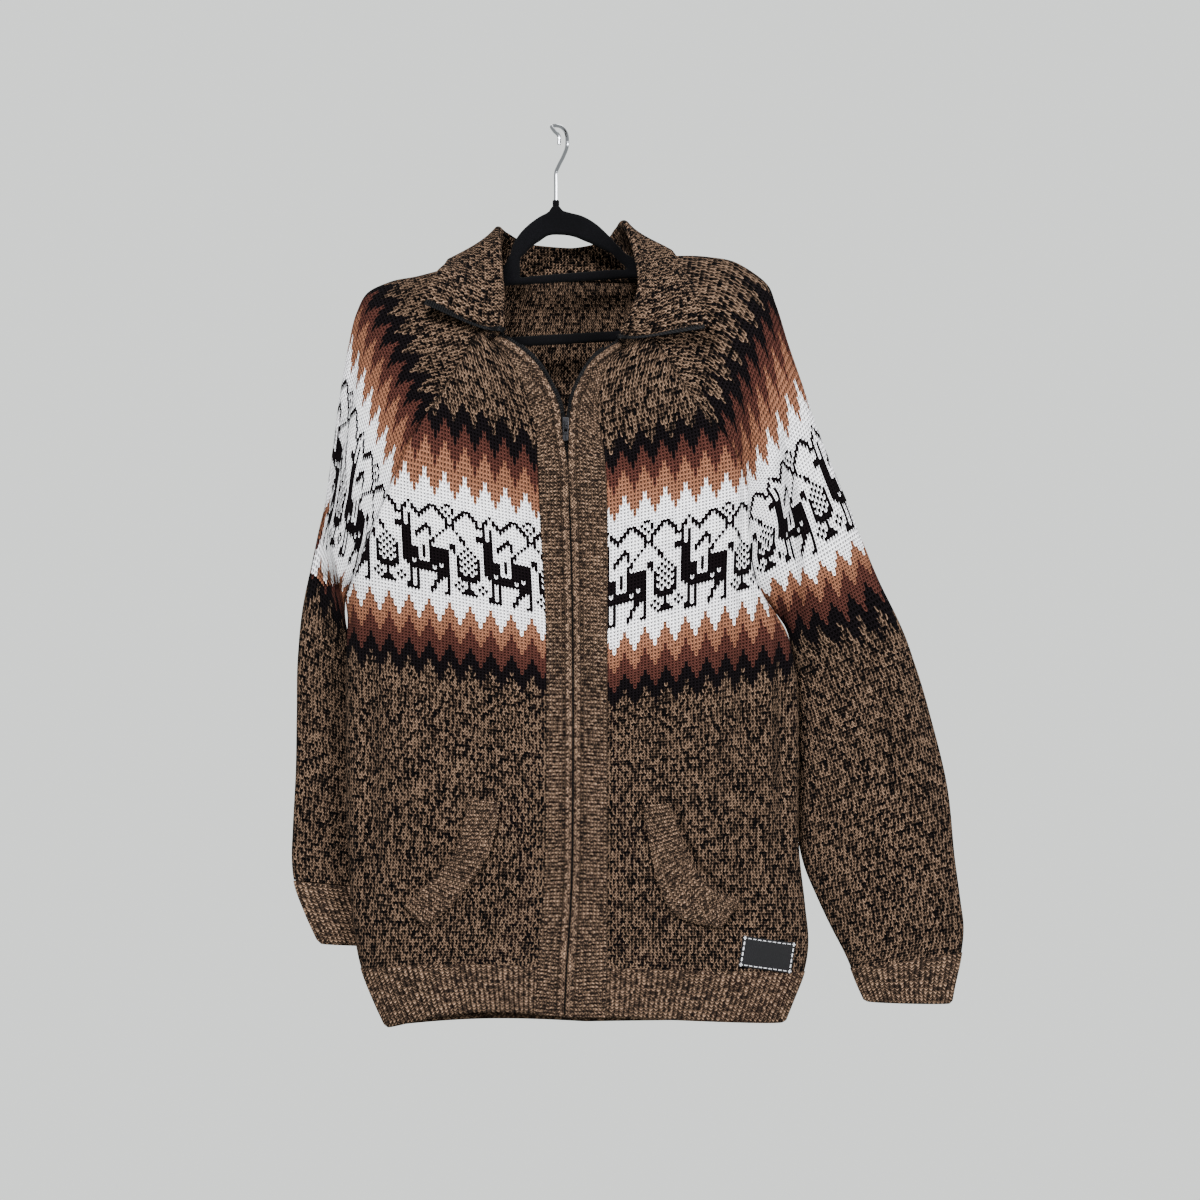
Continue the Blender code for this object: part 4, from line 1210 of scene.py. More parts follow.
def new_group(name: str, inputs: dict[str, str], outputs: dict[str, str]) -> tuple[Tree, Node, Node]:
    """Starts a shader node group.

    Args:
        name: the group's name.
        inputs: socket names and their short types, Vector or Float.
        outputs: the same for what the group gives.

    Returns:
        The tree, its input node and its output node.
    """
    made = bpy.data.node_groups.new(name, "ShaderNodeTree")
    for direction, sockets in (("INPUT", inputs), ("OUTPUT", outputs)):
        for socket, kind in sockets.items():
            made.interface.new_socket(socket, in_out=direction, socket_type=f"NodeSocket{kind}")
    tree = Tree(made)
    return tree, tree.add("NodeGroupInput"), tree.add("NodeGroupOutput")


HOLE_WIDTH = 0.75  # half the width of a stitch's hole, in legs
HOLE_TOP = 0.22  # how far down the row the hole's middle is
HOLE_DEPTH = 0.5  # half the hole's height, in rows


def knit_loops() -> NodeTree:
    """Draws the relief, the painted shade and the marl of knitting, from a map in legs across and rows
    down.

    A stitch's legs run from its outer sides at the top of the row to its middle at the bottom. Between
    their tops is the small hole of plain knitting, painted dark as shade.

    Returns:
        The node group.
    """
    tree, given, out = new_group(
        "knit_loops", {"Stitch": "Vector", "Twist": "Float", "Hole": "Float"},
        {"Height": "Float", "Shade": "Float", "Fleck": "Float", "Tint": "Float"},
    )
    parts = tree.feed(tree.add("ShaderNodeSeparateXYZ"), given.outputs["Stitch"])
    across, down = parts.outputs[0], parts.outputs[1]
    half = tree.math("FRACT", tree.math("MULTIPLY_ADD", across, 0.5, 0.5))
    from_middle = tree.math("MULTIPLY", tree.math("ABSOLUTE", tree.math("SUBTRACT", half, 0.5)), 2.0)
    fall = tree.math("FRACT", down)
    centre = tree.math("MULTIPLY_ADD", fall, -0.8, 0.9)
    off = tree.math("DIVIDE", tree.math("SUBTRACT", from_middle, centre), 0.5)
    strand = tree.math("SUBTRACT", 1.0, tree.math("MULTIPLY", off, off))
    strand = tree.math("POWER", tree.math("MAXIMUM", strand, 0.0005), 0.6)
    reach = tree.math("SINE", tree.math("MULTIPLY", fall, math.pi))
    reach = tree.math("POWER", tree.math("MAXIMUM", reach, 0.001), 0.5)
    aside = tree.math("MULTIPLY", from_middle, 1 / HOLE_WIDTH)
    below = tree.math("MULTIPLY_ADD", fall, 1 / HOLE_DEPTH, -HOLE_TOP / HOLE_DEPTH)
    around = tree.math("MULTIPLY_ADD", below, below, tree.math("MULTIPLY", aside, aside))
    missing = tree.math("MULTIPLY", given.outputs["Hole"], tree.spread(around, 0.3, 1.3, 1.0, 0.0))
    filled = tree.math("SUBTRACT", 1.0, missing)
    strand = tree.math("MULTIPLY", strand, tree.math("MULTIPLY_ADD", reach, 0.4, 0.6))
    height = tree.math("MULTIPLY", strand, tree.math("MULTIPLY_ADD", filled, 0.8, 0.2))
    cell = tree.add("ShaderNodeCombineXYZ")
    tree.feed(cell, tree.math("FLOOR", across), tree.math("FLOOR", down))
    white = tree.add("ShaderNodeTexWhiteNoise", noise_dimensions="2D")
    tree.put(white.inputs["Vector"], cell.outputs[0])
    tint = tree.feed(tree.add("ShaderNodeSeparateColor"), white.outputs["Color"])
    twist = tree.math("MULTIPLY_ADD", off, 0.3, tree.math("ADD", fall, white.outputs["Value"]))
    twist = tree.math("SINE", tree.math("MULTIPLY", twist, 2 * math.pi))
    mixed = tree.math("SUBTRACT", tree.math("ADD", twist, 0.5), tint.outputs[0])
    mixed = tree.math("MULTIPLY_ADD", mixed, given.outputs["Twist"], tint.outputs[0])
    tree.put(out.inputs["Height"], height)
    # Painted shade: the yarn is darker at the edges of its strands and in the stitches' holes.
    tree.put(out.inputs["Shade"], tree.math("MULTIPLY", filled, tree.spread(strand, 0.1, 0.7, 0.45)))
    tree.put(out.inputs["Fleck"], tree.spread(mixed, 0.2, 0.6))
    tree.put(out.inputs["Tint"], tint.outputs[1])
    return tree.tree


def fibre() -> NodeTree:
    """Draws fine hairs and lint, in the object's own coordinates.

    Returns:
        The node group.
    """
    tree, given, out = new_group("fibre", {"Place": "Vector", "Scale": "Float"},
                                 {"Value": "Float", "Patch": "Float"})
    place = given.outputs["Place"]
    tree.put(out.inputs["Value"], tree.noise(place, given.outputs["Scale"], 3.0, 0.6))
    tree.put(out.inputs["Patch"], tree.noise(place, 14.0, 2.0))
    return tree.tree


def weave() -> NodeTree:
    """Draws a fine diagonal weave, from a map in threads.

    Returns:
        The node group.
    """
    tree, given, out = new_group("weave", {"Thread": "Vector", "Count": "Float"}, {"Height": "Float"})
    parts = tree.feed(tree.add("ShaderNodeSeparateXYZ"), given.outputs["Thread"]).outputs
    along, over = (
        tree.math("MULTIPLY", tree.math(way, parts[0], parts[1]), given.outputs["Count"])
        for way in ("ADD", "SUBTRACT")
    )
    first = tree.math("ABSOLUTE", tree.math("SINE", along))
    second = tree.math("ABSOLUTE", tree.math("SINE", tree.math("MULTIPLY", over, 0.5)))
    crossed = tree.math("MULTIPLY_ADD", second, 0.4, 0.6)
    tree.put(out.inputs["Height"], tree.math("MULTIPLY", first, crossed))
    return tree.tree


@dataclass(frozen=True)
class Effects:
    """The node groups that the finishes share."""

    loops: NodeTree
    fibre: NodeTree
    weave: NodeTree


class Coat:
    """A material in the making: its tree, its shader's sockets and the lint on it."""

    def __init__(self, name: str, effects: Effects, lint_scale: float) -> None:
        """Starts the material.

        Args:
            name: the material's name.
            effects: the shared node groups.
            lint_scale: how fine its hairs, lint or marks are.
        """
        self.material = bpy.data.materials.new(name)
        self.material.use_nodes = True
        self.tree = Tree(self.material.node_tree)
        self.sockets = self.material.node_tree.nodes["Principled BSDF"].inputs
        place = self.tree.add("ShaderNodeTexCoord").outputs["Object"]
        self.lint = self.tree.group(effects.fibre, Place=place, Scale=lint_scale).outputs

    def stitches(self) -> NodeSocket:
        """The piece's map in legs and rows, or in threads."""
        return self.tree.add("ShaderNodeUVMap", uv_map="stitches").outputs[0]

    def product(self, *tones: object) -> NodeSocket:
        """Multiplies tones."""
        result = tones[0]
        for tone in tones[1:]:
            result = self.tree.math("MULTIPLY", result, tone)
        return result

    def finish(self, colour: object, tone: NodeSocket, height: NodeSocket, relief: float,
               plain: dict[str, float]) -> Material:
        """Gives the shader its colour, its relief and its plain values.

        Args:
            colour: the base colour.
            tone: how bright it is, which may pass 1.
            height: the relief's height.
            relief: how deep the relief is, in metres.
            plain: the sockets that are the same all over, by name.

        Returns:
            The finished material.
        """
        tree = self.tree
        grey = tree.feed(tree.add("ShaderNodeCombineColor"), tone, tone, tone).outputs[0]
        tree.put(self.sockets["Base Color"], tree.blend(1.0, colour, grey, "MULTIPLY"))
        bump = tree.add("ShaderNodeBump")
        bump.inputs["Distance"].default_value = relief
        tree.put(bump.inputs["Height"], height)
        tree.put(self.sockets["Normal"], bump.outputs[0])
        for socket, value in plain.items():
            self.sockets[socket].default_value = value
        return self.material


@dataclass(frozen=True)
class KnitFinish:
    """Alpaca knitting: the stitches' relief, painted shade in their gaps, the marl's flecks, and a soft
    nap.
    """

    name: str
    patterned: bool = True
    sideways: bool = False
    light: str = Yarn.MARL.value
    dark: str = "060506"
    gap_shade: float = 0.1  # painted shade: how bright the yarn is painted in the gaps between its strands
    relief: float = 0.0009
    twist: float = 0.2  # how much the fleck follows the yarn's twist, not each leg's own shade
    # hole: how much the stitches' holes show, as a dip in the relief and as painted shade
    hole: float = 1.0

    def build(self, effects: Effects) -> Material:
        """Builds the material.

        Args:
            effects: the shared node groups.

        Returns:
            The finished material.
        """
        coat = Coat(self.name, effects, 900.0)
        tree, stitch = coat.tree, coat.stitches()
        if self.sideways:
            turn = tree.add("ShaderNodeMapping")
            tree.put(turn.inputs["Vector"], stitch)
            turn.inputs["Rotation"].default_value = (0, 0, math.pi / 2)
            turn.inputs["Scale"].default_value = (LEG / ROW, ROW / LEG, 1)
            stitch = turn.outputs[0]
        loops = tree.group(effects.loops, Stitch=stitch, Twist=self.twist, Hole=self.hole).outputs
        ply, base = loops["Fleck"], linear(self.light)
        if self.patterned:
            yarn = tree.add("ShaderNodeVertexColor", layer_name="yarn").outputs
            ply, base = tree.math("MULTIPLY", ply, yarn["Alpha"]), yarn["Color"]
        # The last tone is the painted shade of the strands' gaps and the stitches' holes.
        tone = coat.product(
            tree.spread(coat.lint["Value"], 0.3, 0.7, 0.85, 1.12),
            tree.spread(coat.lint["Patch"], 0.3, 0.7, 0.93, 1.05),
            tree.math("MULTIPLY_ADD", loops["Tint"], 0.3, 0.82),
            tree.math("MULTIPLY_ADD", loops["Shade"], 1 - self.gap_shade, self.gap_shade),
        )
        height = tree.math("MULTIPLY_ADD", coat.lint["Value"], 0.35, loops["Height"])
        plain = {"Roughness": 0.95, "Specular IOR Level": 0.005, "Sheen Weight": 0.004,
                 "Sheen Roughness": 0.6}
        return coat.finish(tree.blend(ply, base, linear(self.dark)), tone, height, self.relief, plain)


@dataclass(frozen=True)
class WovenFinish:
    """A close weave, as of the zip's tape, the patch and its thread."""

    name: str
    colour: str
    count: float
    relief: float = 0.0003
    rough: float = 0.8
    sheen: float = 0.03
    specular: float = 0.3

    def build(self, effects: Effects) -> Material:
        """Builds the material.

        Args:
            effects: the shared node groups.

        Returns:
            The finished material.
        """
        coat = Coat(self.name, effects, 700.0)
        woven = coat.tree.group(effects.weave, Thread=coat.stitches(), Count=self.count).outputs[0]
        # Painted shade and highlight: the weave's hollows between the threads are darker and its crossings
        # lighter.
        tone = coat.product(coat.tree.spread(woven, 0.0, 1.0, 0.7, 1.1),
                            coat.tree.spread(coat.lint["Value"], 0.3, 0.75, 0.85, 1.25))
        plain = {"Roughness": self.rough, "Specular IOR Level": self.specular, "Sheen Weight": self.sheen}
        return coat.finish(linear(self.colour), tone, woven, self.relief, plain)


@dataclass(frozen=True)
class VelvetFinish:
    """Short black flock over moulded plastic, a little worn."""

    name: str = "black_flock"
    colour: str = "030304"

    def build(self, effects: Effects) -> Material:
        """Builds the material.

        Args:
            effects: the shared node groups.

        Returns:
            The finished material.
        """
        coat = Coat(self.name, effects, 1500.0)
        tone = coat.product(coat.tree.spread(coat.lint["Value"], 0.3, 0.7, 0.55, 1.7),
                            coat.tree.spread(coat.lint["Patch"], 0.35, 0.7, 0.8, 1.3))
        plain = {"Roughness": 0.95, "Specular IOR Level": 0.04, "Sheen Weight": 0.015,
                 "Sheen Roughness": 0.4}
        return coat.finish(linear(self.colour), tone, coat.lint["Value"], 0.0004, plain)


@dataclass(frozen=True)
class MetalFinish:
    """Plated metal with faint handling marks."""

    name: str
    colour: str
    rough: float

    def build(self, effects: Effects) -> Material:
        """Builds the material.

        Args:
            effects: the shared node groups.

        Returns:
            The finished material.
        """
        coat = Coat(self.name, effects, 400.0)
        marks = coat.tree.spread(coat.lint["Value"], 0.3, 0.7, self.rough * 0.75, self.rough * 1.5)
        coat.tree.put(coat.sockets["Roughness"], marks)
        tone = coat.tree.spread(coat.lint["Patch"], 0.3, 0.7, 0.9, 1.0)
        return coat.finish(linear(self.colour), tone, coat.lint["Value"], 0.00003, {"Metallic": 1.0})


def resample(points: Sequence[Vector], step: float) -> list[Vector]:
    """Walks along a line of points.

    Args:
        points: the line.
        step: how far apart the points given back are.

    Returns:
        The points.
    """
    table = np.array(points)
    along = np.concatenate([[0], np.cumsum(np.linalg.norm(np.diff(table, axis=0), axis=1))])
    strip = Strip(along, table)
    return [Vector(place) for place in strip.at(np.arange(0, along[-1], step))]


def add_block(bm: BMesh, place: Vector, axes: tuple[Vector, Vector, Vector],
              size: tuple[float, float, float], edge: float) -> None:
    """Adds a small rounded block.

    Args:
        bm: the mesh that it joins, in millimetres.
        place: its middle.
        axes: its three directions.
        size: its length along each.
        edge: the radius of its edges.
    """
    verts = bmesh.ops.create_cube(bm, size=1)["verts"]
    for vert in verts:
        spot = vert.co.copy()
        vert.co = place + sum((axis * spot[i] * size[i] for i, axis in enumerate(axes)), Vector())
    edges = list({e for v in verts for e in v.link_edges})
    bmesh.ops.bevel(bm, geom=edges, offset=edge, offset_type="OFFSET", segments=1, profile=0.5,
                    affect="EDGES", material=-1, clamp_overlap=True)


def block_object(name: str, bm: BMesh, finish: Material) -> Object:
    """Makes an object of a mesh built in millimetres, with a map for its weave.

    Args:
        name: the object's name.
        bm: its mesh, which is freed.
        finish: its material.

    Returns:
        The object.
    """
    bmesh.ops.recalc_face_normals(bm, faces=bm.faces)
    layer = bm.loops.layers.uv.new("stitches")
    for face in bm.faces:
        for loop in face.loops:
            loop[layer].uv = (loop.vert.co.x + loop.vert.co.y, loop.vert.co.z)
    bmesh.ops.scale(bm, vec=(MM, MM, MM), verts=bm.verts)
    mesh = mesh_of(name, bm)
    mesh.set_sharp_from_angle(angle=math.radians(SHARP))
    return cloth_object(name, mesh, finish)


def settle(piece: Object, slot: str, *nodes: str) -> None:
    """Gives a piece its body and hides the solids that it stands for."""
    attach(piece, "garment")
    if nodes:
        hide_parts(*nodes)
    LOG.info("%s: %d faces", piece.name, len(piece.data.polygons))


class Finishes:
    """Every finish, built once."""

    def __init__(self, effects: Effects) -> None:
        """Builds the materials from the shared node groups."""
        made = {
            "knit": KnitFinish("patterned_knit"),
            # Painted light: the purl side is painted lighter than the marl, to brighten the inside, which
            # lies in shade.
            "purl": KnitFinish("purl_side", patterned=False, sideways=True, gap_shade=0.25, light="a18b79"),
            "rib": KnitFinish("rib_knit", hole=0.25, twist=0.3),
            "side_rib": KnitFinish("side_rib_knit", sideways=True, hole=0.25, twist=0.3),
            "collar": KnitFinish("collar_knit"),
            "tape": WovenFinish("zip_tape", "070708", 3.0, sheen=0.01, specular=0.06),
            "teeth": WovenFinish("zip_teeth", "040405", 1.0, rough=0.6, sheen=0.0, specular=0.06),
            "patch": WovenFinish("woven_patch", "060608", 5.0, 0.0002, 0.7, specular=0.1),
            "thread": WovenFinish("white_thread", "b4b4b8", 8.0, 0.0002, 0.6),
            "velvet": VelvetFinish(),
            "chrome": MetalFinish("chrome_wire", "8c8e92", 0.14),
            "zip_metal": MetalFinish("black_nickel", "222224", 0.35),
        }
        self.built = {use: finish.build(effects) for use, finish in made.items()}

    def __getitem__(self, use: str) -> Material:
        """The material for a use."""
        return self.built[use]


# Columns: x and drop of one end, x and drop of the other, half width, depth. Creases of the sleeves and
# the fronts that are finer than the solids' own.
CREASES = (
    (-191, 212, -194, 256, 4, 4.8), (-194, 256, -211, 335, 5, 7.2), (-211, 330, -232, 418, 6, 12.8),
    (-180, 300, -206, 400, 14, -6.4), (-234, 420, -202, 442, 14, 12.8), (-206, 438, -196, 480, 5, 6),
    (-214, 470, -204, 640, 8, 6.4), (-228, 520, -222, 700, 8, -4.8), (181, 230, 174, 446, 4, 6),
    (203, 280, 208, 400, 12, -6.4), (217, 297, 225, 392, 4, 9.6), (225, 392, 230, 470, 5, 9.6),
    (186, 428, 194, 476, 3, 3.6), (195, 424, 204, 470, 3, 3.6), (206, 420, 214, 470, 4, 4.8),
    (174, 452, 177, 630, 6, 4.8), (193, 468, 198, 600, 6, 4.8), (209, 480, 214, 640, 6, 6.4),
    (170, 490, 158, 752, 16, 6.4), (134, 470, 120, 640, 22, -4.8), (176, 640, 172, 745, 7, 4.8),
    (-175, 500, -172, 745, 10, 4.8), (-40, 560, -62, 760, 18, 4.8), (-150, 530, -128, 660, 20, -4.8),
    (280, 400, 312, 620, 14, 6.4), (318, 470, 352, 700, 16, -6.4), (262, 560, 300, 740, 12, 6.4),
    (340, 640, 356, 790, 12, 4.8),
)
# The pockets' open mouths beside their trims, in the same terms.
MOUTHS = (
    (111, 637, 115, 657, 3, 8), (115, 657, 122, 676, 3.2, 9), (122, 676, 132, 697, 3.5, 10),
    (132, 697, 146, 716, 4.5, 9), (146, 716, 172, 729, 8, 6), (-86, 635, -91, 661, 3, 3),
    (-91, 661, -99, 683, 3.2, 3), (-99, 683, -111, 700, 4, 3), (-111, 700, -145, 734, 4.5, 3),
)
CREASE_FADE = 9.0  # the depth over which they fade towards the side
# Columns: row, share. Where the fold lies on the left sleeve that hides some of its rows.
SLEEVE_FOLD = ((43, 0.34), (60, 0.39), (80, 0.44), (96, 0.5))


def mouthed(places: np.ndarray) -> np.ndarray:
    """Presses the pockets' mouths into a front panel's points."""
    places[..., 1] += [[folds_at(x, -z, MOUTHS) for x, _, z in row] for row in places]
    return places


def creased(surface: Point) -> Point:
    """Presses the fine creases into a surface's front.

    Args:
        surface: the surface.

    Returns:
        The surface with its creases.
    """

    def point(course: float, share: float) -> Vector:
        """A point of the creased surface."""
        here = surface(course, share)
        if here.y < 0:
            here.y += folds_at(here.x, -here.z, CREASES) * smooth_step(-here.y / CREASE_FADE)
        return here

    return point


@dataclass
class Yoke:
    """The plain-knit panels: back, fronts and sleeves, with their chart."""

    form: Form
    back_rows: int = 72  # how many rows of the back show from inside
    front_rows: int = 36
    sleeve_rows: int = 24
    hidden_rows: float = 14.0  # how many rows the left sleeve's fold hides at most
    raised_rows: float = 6.0  # how much higher the right sleeve's bands are at its front seam

    def build(self, finishes: Finishes) -> None:
        """Makes the five panels."""
        for panel, node in self.panels():
            settle(panel.build(finishes["knit"], finishes["purl"]), "patterned", node)

    def panels(self) -> list[tuple[KnitPanel, str]]:
        """Lays out the panels.

        Returns:
            Each panel with the solid that it stands for.
        """
        left, right = self.form.left, self.form.right
        hem_row = row_of(WAIST_RIB)
        found = [(KnitPanel("knit_back", self.form.back, -FRONT, hem_row, 0.5, 12.0, -1,
                            ("collar", "hanger_frame"), self.back_rows), "back")]
        for body, column in ((left, 18.5), (right, 3.5)):
            found.append((
                KnitPanel(f"knit_front_{body.tag}", creased(body.front), FRONT, hem_row, 0.0, column,
                          body.side, (f"sleeve_{body.tag}", "collar"), self.front_rows, pressed=mouthed),
                f"front_{body.tag}",
            ))
        for body, column, shift in ((left, 4.5, self.left_shift), (right, 8.5, self.right_shift)):
            found.append((
                KnitPanel(f"knit_sleeve_{body.tag}", creased(body.sleeve), Vector((body.side, 0, 0)),
                          row_of(CUFF[body.side][0]), 0.5, column, body.side, ("hanger_frame",),
                          self.sleeve_rows, shift),
                f"sleeve_{body.tag}",
            ))
        return found

    def left_shift(self, row: int, share: float) -> float:
        """Moves the left sleeve's rows at the fold that hides some of them.

        Args:
            row: the row's place on the sleeve.
            share: how far round the sleeve from its front seam.

        Returns:
            How many rows earlier, below 0, is the row that shows there.
        """
        fold = float(np.interp(row, *zip(*SLEEVE_FOLD)))
        late = self.hidden_rows * smooth_step((row - 50) / 40) * smooth_step(share / 0.45)
        white_end = YOKE_BANDS[4][0] + 1
        return -late if share < fold and row - late < white_end else 0.0

    def right_shift(self, row: int, share: float) -> float:
        """How many rows the right sleeve's bands lie higher beside its front seam."""
        return self.raised_rows * smooth_step((row - 60) / 26) * (1 - smooth_step(share / 0.35))


@dataclass
class Ribs:
    """The ribbed hem, cuffs, front bands, collar and pocket trims."""

    form: Form
    pitch: float = 3.5  # one rib of the bands and the trims
    height: float = 0.8

    def build(self, finishes: Finishes) -> None:
        """Makes every ribbed piece."""
        for wall, node, use in self.walls():
            settle(wall.build(finishes[use]), "marl", node)

    def walls(self) -> list[tuple[KnitWall, str, str]]:
        """Lays out the ribbed pieces.

        Returns:
            Each piece with the solid that it stands for and its finish.
        """
        down, across = Raise.RIBS_DOWN, Raise.RIBS_ACROSS
        found = [
            (KnitWall("rib_hem_back", self.form.back, -FRONT, WAIST_RIB, HEM_END, 14, 480,
                      ("knit_back",), down), "hem_back", "rib"),
            (KnitWall("knit_collar", Collar(self.form).point, Vector((0, 0, 1)), 0, 1, 60, 300,
                      ("knit_back", "knit_sleeve_left", "knit_sleeve_right"), held="folded"),
             "collar", "collar"),
        ]
        for body in (self.form.left, self.form.right):
            tag, front = body.tag, (f"knit_front_{body.tag}",)
            found += [
                (KnitWall(f"rib_hem_{tag}", body.front, FRONT, WAIST_RIB, HEM_END, 14, 240, front, down),
                 f"hem_{tag}", "rib"),
                (KnitWall(f"rib_cuff_{tag}", body.sleeve, Vector((body.side, 0, 0)), *CUFF[body.side],
                          14, 300, (f"knit_sleeve_{tag}",), down, tube=True), f"cuff_{tag}", "rib"),
                (BandWall(f"rib_band_{tag}", body.band, FRONT, 0, HEM_END, 1080, 16, front, across,
                          self.pitch, self.height, edge=0.8), f"band_{tag}", "side_rib"),
                (KnitWall(f"rib_pocket_{tag}", self.pocket(body), FRONT, 0, 5, 180, 12, front, across,
                          self.pitch, self.height), f"pocket_trim_{tag}", "side_rib"),
            ]
        return found

    @staticmethod
    def pocket(body: Body) -> Point:
        """Makes the surface of a pocket's trim, whose open edge stands off the panel.

        Args:
            body: the side that the pocket is on.

        Returns:
            The surface, by row of the pocket's table and share across the trim.
        """
        rows = POCKET[body.side]
        track = Track([(i, *row) for i, row in enumerate(rows)])

        def point(at: float, share: float) -> Vector:
            """A point of the trim, share 0 at its open edge and 1 at its sewn one."""
            open_x, open_drop, sewn_x, sewn_drop = track(at)
            here, normal = body.on_front(open_x + (sewn_x - open_x) * share,
                                         open_drop + (sewn_drop - open_drop) * share)
            gape = POCKET_GAPE[body.side] * math.sin(math.pi * at / (len(rows) - 1)) * (1 - share) ** 2
            return here + normal * (RIB_CLOTH + TRIM_GAP + gape)

        return point


@dataclass
class BandWall(KnitWall):
    """A front band: ribs across it and a raised chain of stitches beside the zip."""

    chain_middle: float = 3.4
    chain_width: float = 2.0
    chain_height: float = 0.9
    groove_middle: float = 7.4
    groove_width: float = 1.3
    closer: float = 0.03  # how far its edge reaches over the zip, as a share of its width

    def __post_init__(self) -> None:
        """Stretches the band over the zip, whose chain lies deeper."""
        plain = self.point
        self.point = lambda course, share: plain(course, share * (1 + self.closer) - self.closer)

    def worked(self, across: np.ndarray, down: np.ndarray) -> np.ndarray:
        """Adds the chain and the groove beside it to the ribs.

        Args:
            across: each point's distance along its row.
            down: its distance down the band.

        Returns:
            How raised each point is.
        """
        chain = np.exp(-(((across - self.chain_middle) / self.chain_width) ** 2))
        groove = np.exp(-(((across - self.groove_middle) / self.groove_width) ** 2))
        ribs = super().worked(across, down) * (1 - 0.6 * chain)
        return np.clip(ribs + self.chain_height * chain - groove, 0, 1.5)


@dataclass
class Zip:
    """The zip's tapes, its teeth, and finishes for its slider and pull tab."""

    form: Form
    tooth_pitch: float = 2.3
    tooth: tuple[float, float, float] = (1.5, 2.4, 2.0)
    root: tuple[float, float, float] = (2.645, 3.6, 1.3)  # the strip that an open tooth stands on
    tooth_out: float = 1.5  # how far an open tooth's middle stands past the band's edge
    root_back: float = 0.4  # how far its root's middle lies behind the edge
    link: tuple[float, float, float] = (0.95, 2.2, 1.8)  # a tooth of the closed chain
    stagger: float = 0.7  # how far the closed teeth stand aside in turn
    sink: float = 2.6  # how far the closed chain lies behind the bands' edges
    overlap: float = 4.6  # how far a tape reaches past its band, at most
    slack: float = 0.06  # how far it then stays from the middle
    open_part: tuple[float, float] = (66.0, 4.0)  # the courses of the open teeth, upwards
    collar_part: tuple[float, float] = (0.08, 0.97)  # the same on the collar, from seam to edge
    slider: float = 78.0  # the course where the closed chain starts

    def build(self, finishes: Finishes) -> None:
        """Makes the tapes and the teeth."""
        for body in (self.form.left, self.form.right):
            wall = KnitWall(f"tape_{body.tag}", self.tape(body), FRONT, 16, HEM_END - 3, 240, 6,
                            (f"rib_band_{body.tag}",), cloth=1.2, edge=0.4)
            settle(wall.build(finishes["tape"]), "tape", f"zip_tape_{body.tag}")
            settle(self.open_teeth(body, finishes["teeth"]), "tape")
        settle(self.closed_chain(finishes["teeth"]), "tape")
        for node in ("zip_slider", "pull_tab"):
            redress(node, finishes["zip_metal"])

    def tape(self, body: Body) -> Point:
        """Makes the tape's surface behind a band's edge, reaching to the middle of the zip.

        Args:
            body: the tape's side.

        Returns:
            The surface, by course and share across the tape.
        """
        other = Track(ZIP_EDGE[-body.side])

        def point(course: float, share: float) -> Vector:
            """A point of the tape, share 0 at the zip's middle."""
            here = body.band(course, 0.0)
            back_in = (body.band(course, 0.2) - here).normalized()
            middle = Vector((other(course)[0], here.y, here.z))
            reach = min(self.overlap, abs(middle.x - here.x) / 2 - self.slack)
            spot = here + back_in * (-reach + (TAPE_WIDTH + reach) * share)
            return spot - outward(body.band, course, 0.2) * (RIB_CLOTH + TAPE_GAP)

        return point

    def open_teeth(self, body: Body, finish: Material) -> Object:
        """Makes the teeth along the open edge: up the V and on along the collar's end.

        Args:
            body: the teeth's side.
            finish: their material.

        Returns:
            The row of teeth.
        """
        behind = Vector((0, RIB_CLOTH / 2, 0))
        collar, end = Collar(self.form), max(body.side, 0)
        line = [body.band(course, 0.0) + behind for course in np.linspace(*self.open_part, 24)]
        line += [collar.point(up, end) for up in np.linspace(*self.collar_part, 34)]
        bm = bmesh.new()
        spots = resample(line, self.tooth_pitch)
        for before, here, after in zip(spots, spots[1:], spots[2:]):
            along = (after - before).normalized()
            out = along.cross(Vector((0, -1, 0.15))).normalized()
            if out.x * body.side > 0:
                out = -out
            axes = (along, out, along.cross(out).normalized())
            add_block(bm, here - out * self.root_back, axes, self.root, 0.3)
            add_block(bm, here + out * self.tooth_out, axes, self.tooth, 0.35)
        return block_object(f"zip_teeth_{body.tag}", bm, finish)

    def closed_chain(self, finish: Material) -> Object:
        """Makes the closed chain below the slider, in the slit between the bands.

        Args:
            finish: its material.

        Returns:
            The chain.
        """
        bm = bmesh.new()
        axes = (Vector((0, 0, -1)), Vector((1, 0, 0)), Vector((0, 1, 0)))
        line = [
            (self.form.left.band(course, 0.0) + self.form.right.band(course, 0.0)) / 2
            + Vector((0, self.sink, 0))
            for course in np.linspace(self.slider, HEM_END - 4, 140)
        ]
        for number, here in enumerate(resample(line, self.tooth_pitch / 2)):
            aside = Vector((self.stagger if number % 2 else -self.stagger, 0, 0))
            add_block(bm, here + aside, axes, self.link, 0.25)
        return block_object("zip_chain", bm, finish)


def closed_curve(points: Sequence[tuple[float, float]], step: float, longest: float = 16.0) -> np.ndarray:
    """Points a step apart along a smooth closed curve through a table of points.

    Args:
        points: the table, whose long stretches stay straight.
        step: the distance between the points given back.
        longest: how long a stretch may bend.

    Returns:
        The points, one row each.
    """
    table = np.array(points, float)
    ends = np.roll(table, -1, axis=0)
    counts = np.ceil(np.linalg.norm(ends - table, axis=1) / longest).astype(int)
    fine = np.concatenate([a + (b - a) * np.arange(n)[:, None] / n for a, b, n in zip(table, ends, counts)])
    loop = np.concatenate([fine[-2:], fine, fine[:3]])
    along = np.concatenate([[0], np.cumsum(np.linalg.norm(np.diff(loop, axis=0), axis=1))])
    curve = Track(np.column_stack([along, loop]))
    start, end = along[2], along[2 + len(fine)]
    marks = np.linspace(start, end, round((end - start) / step), endpoint=False)
    return np.array([curve(mark) for mark in marks])


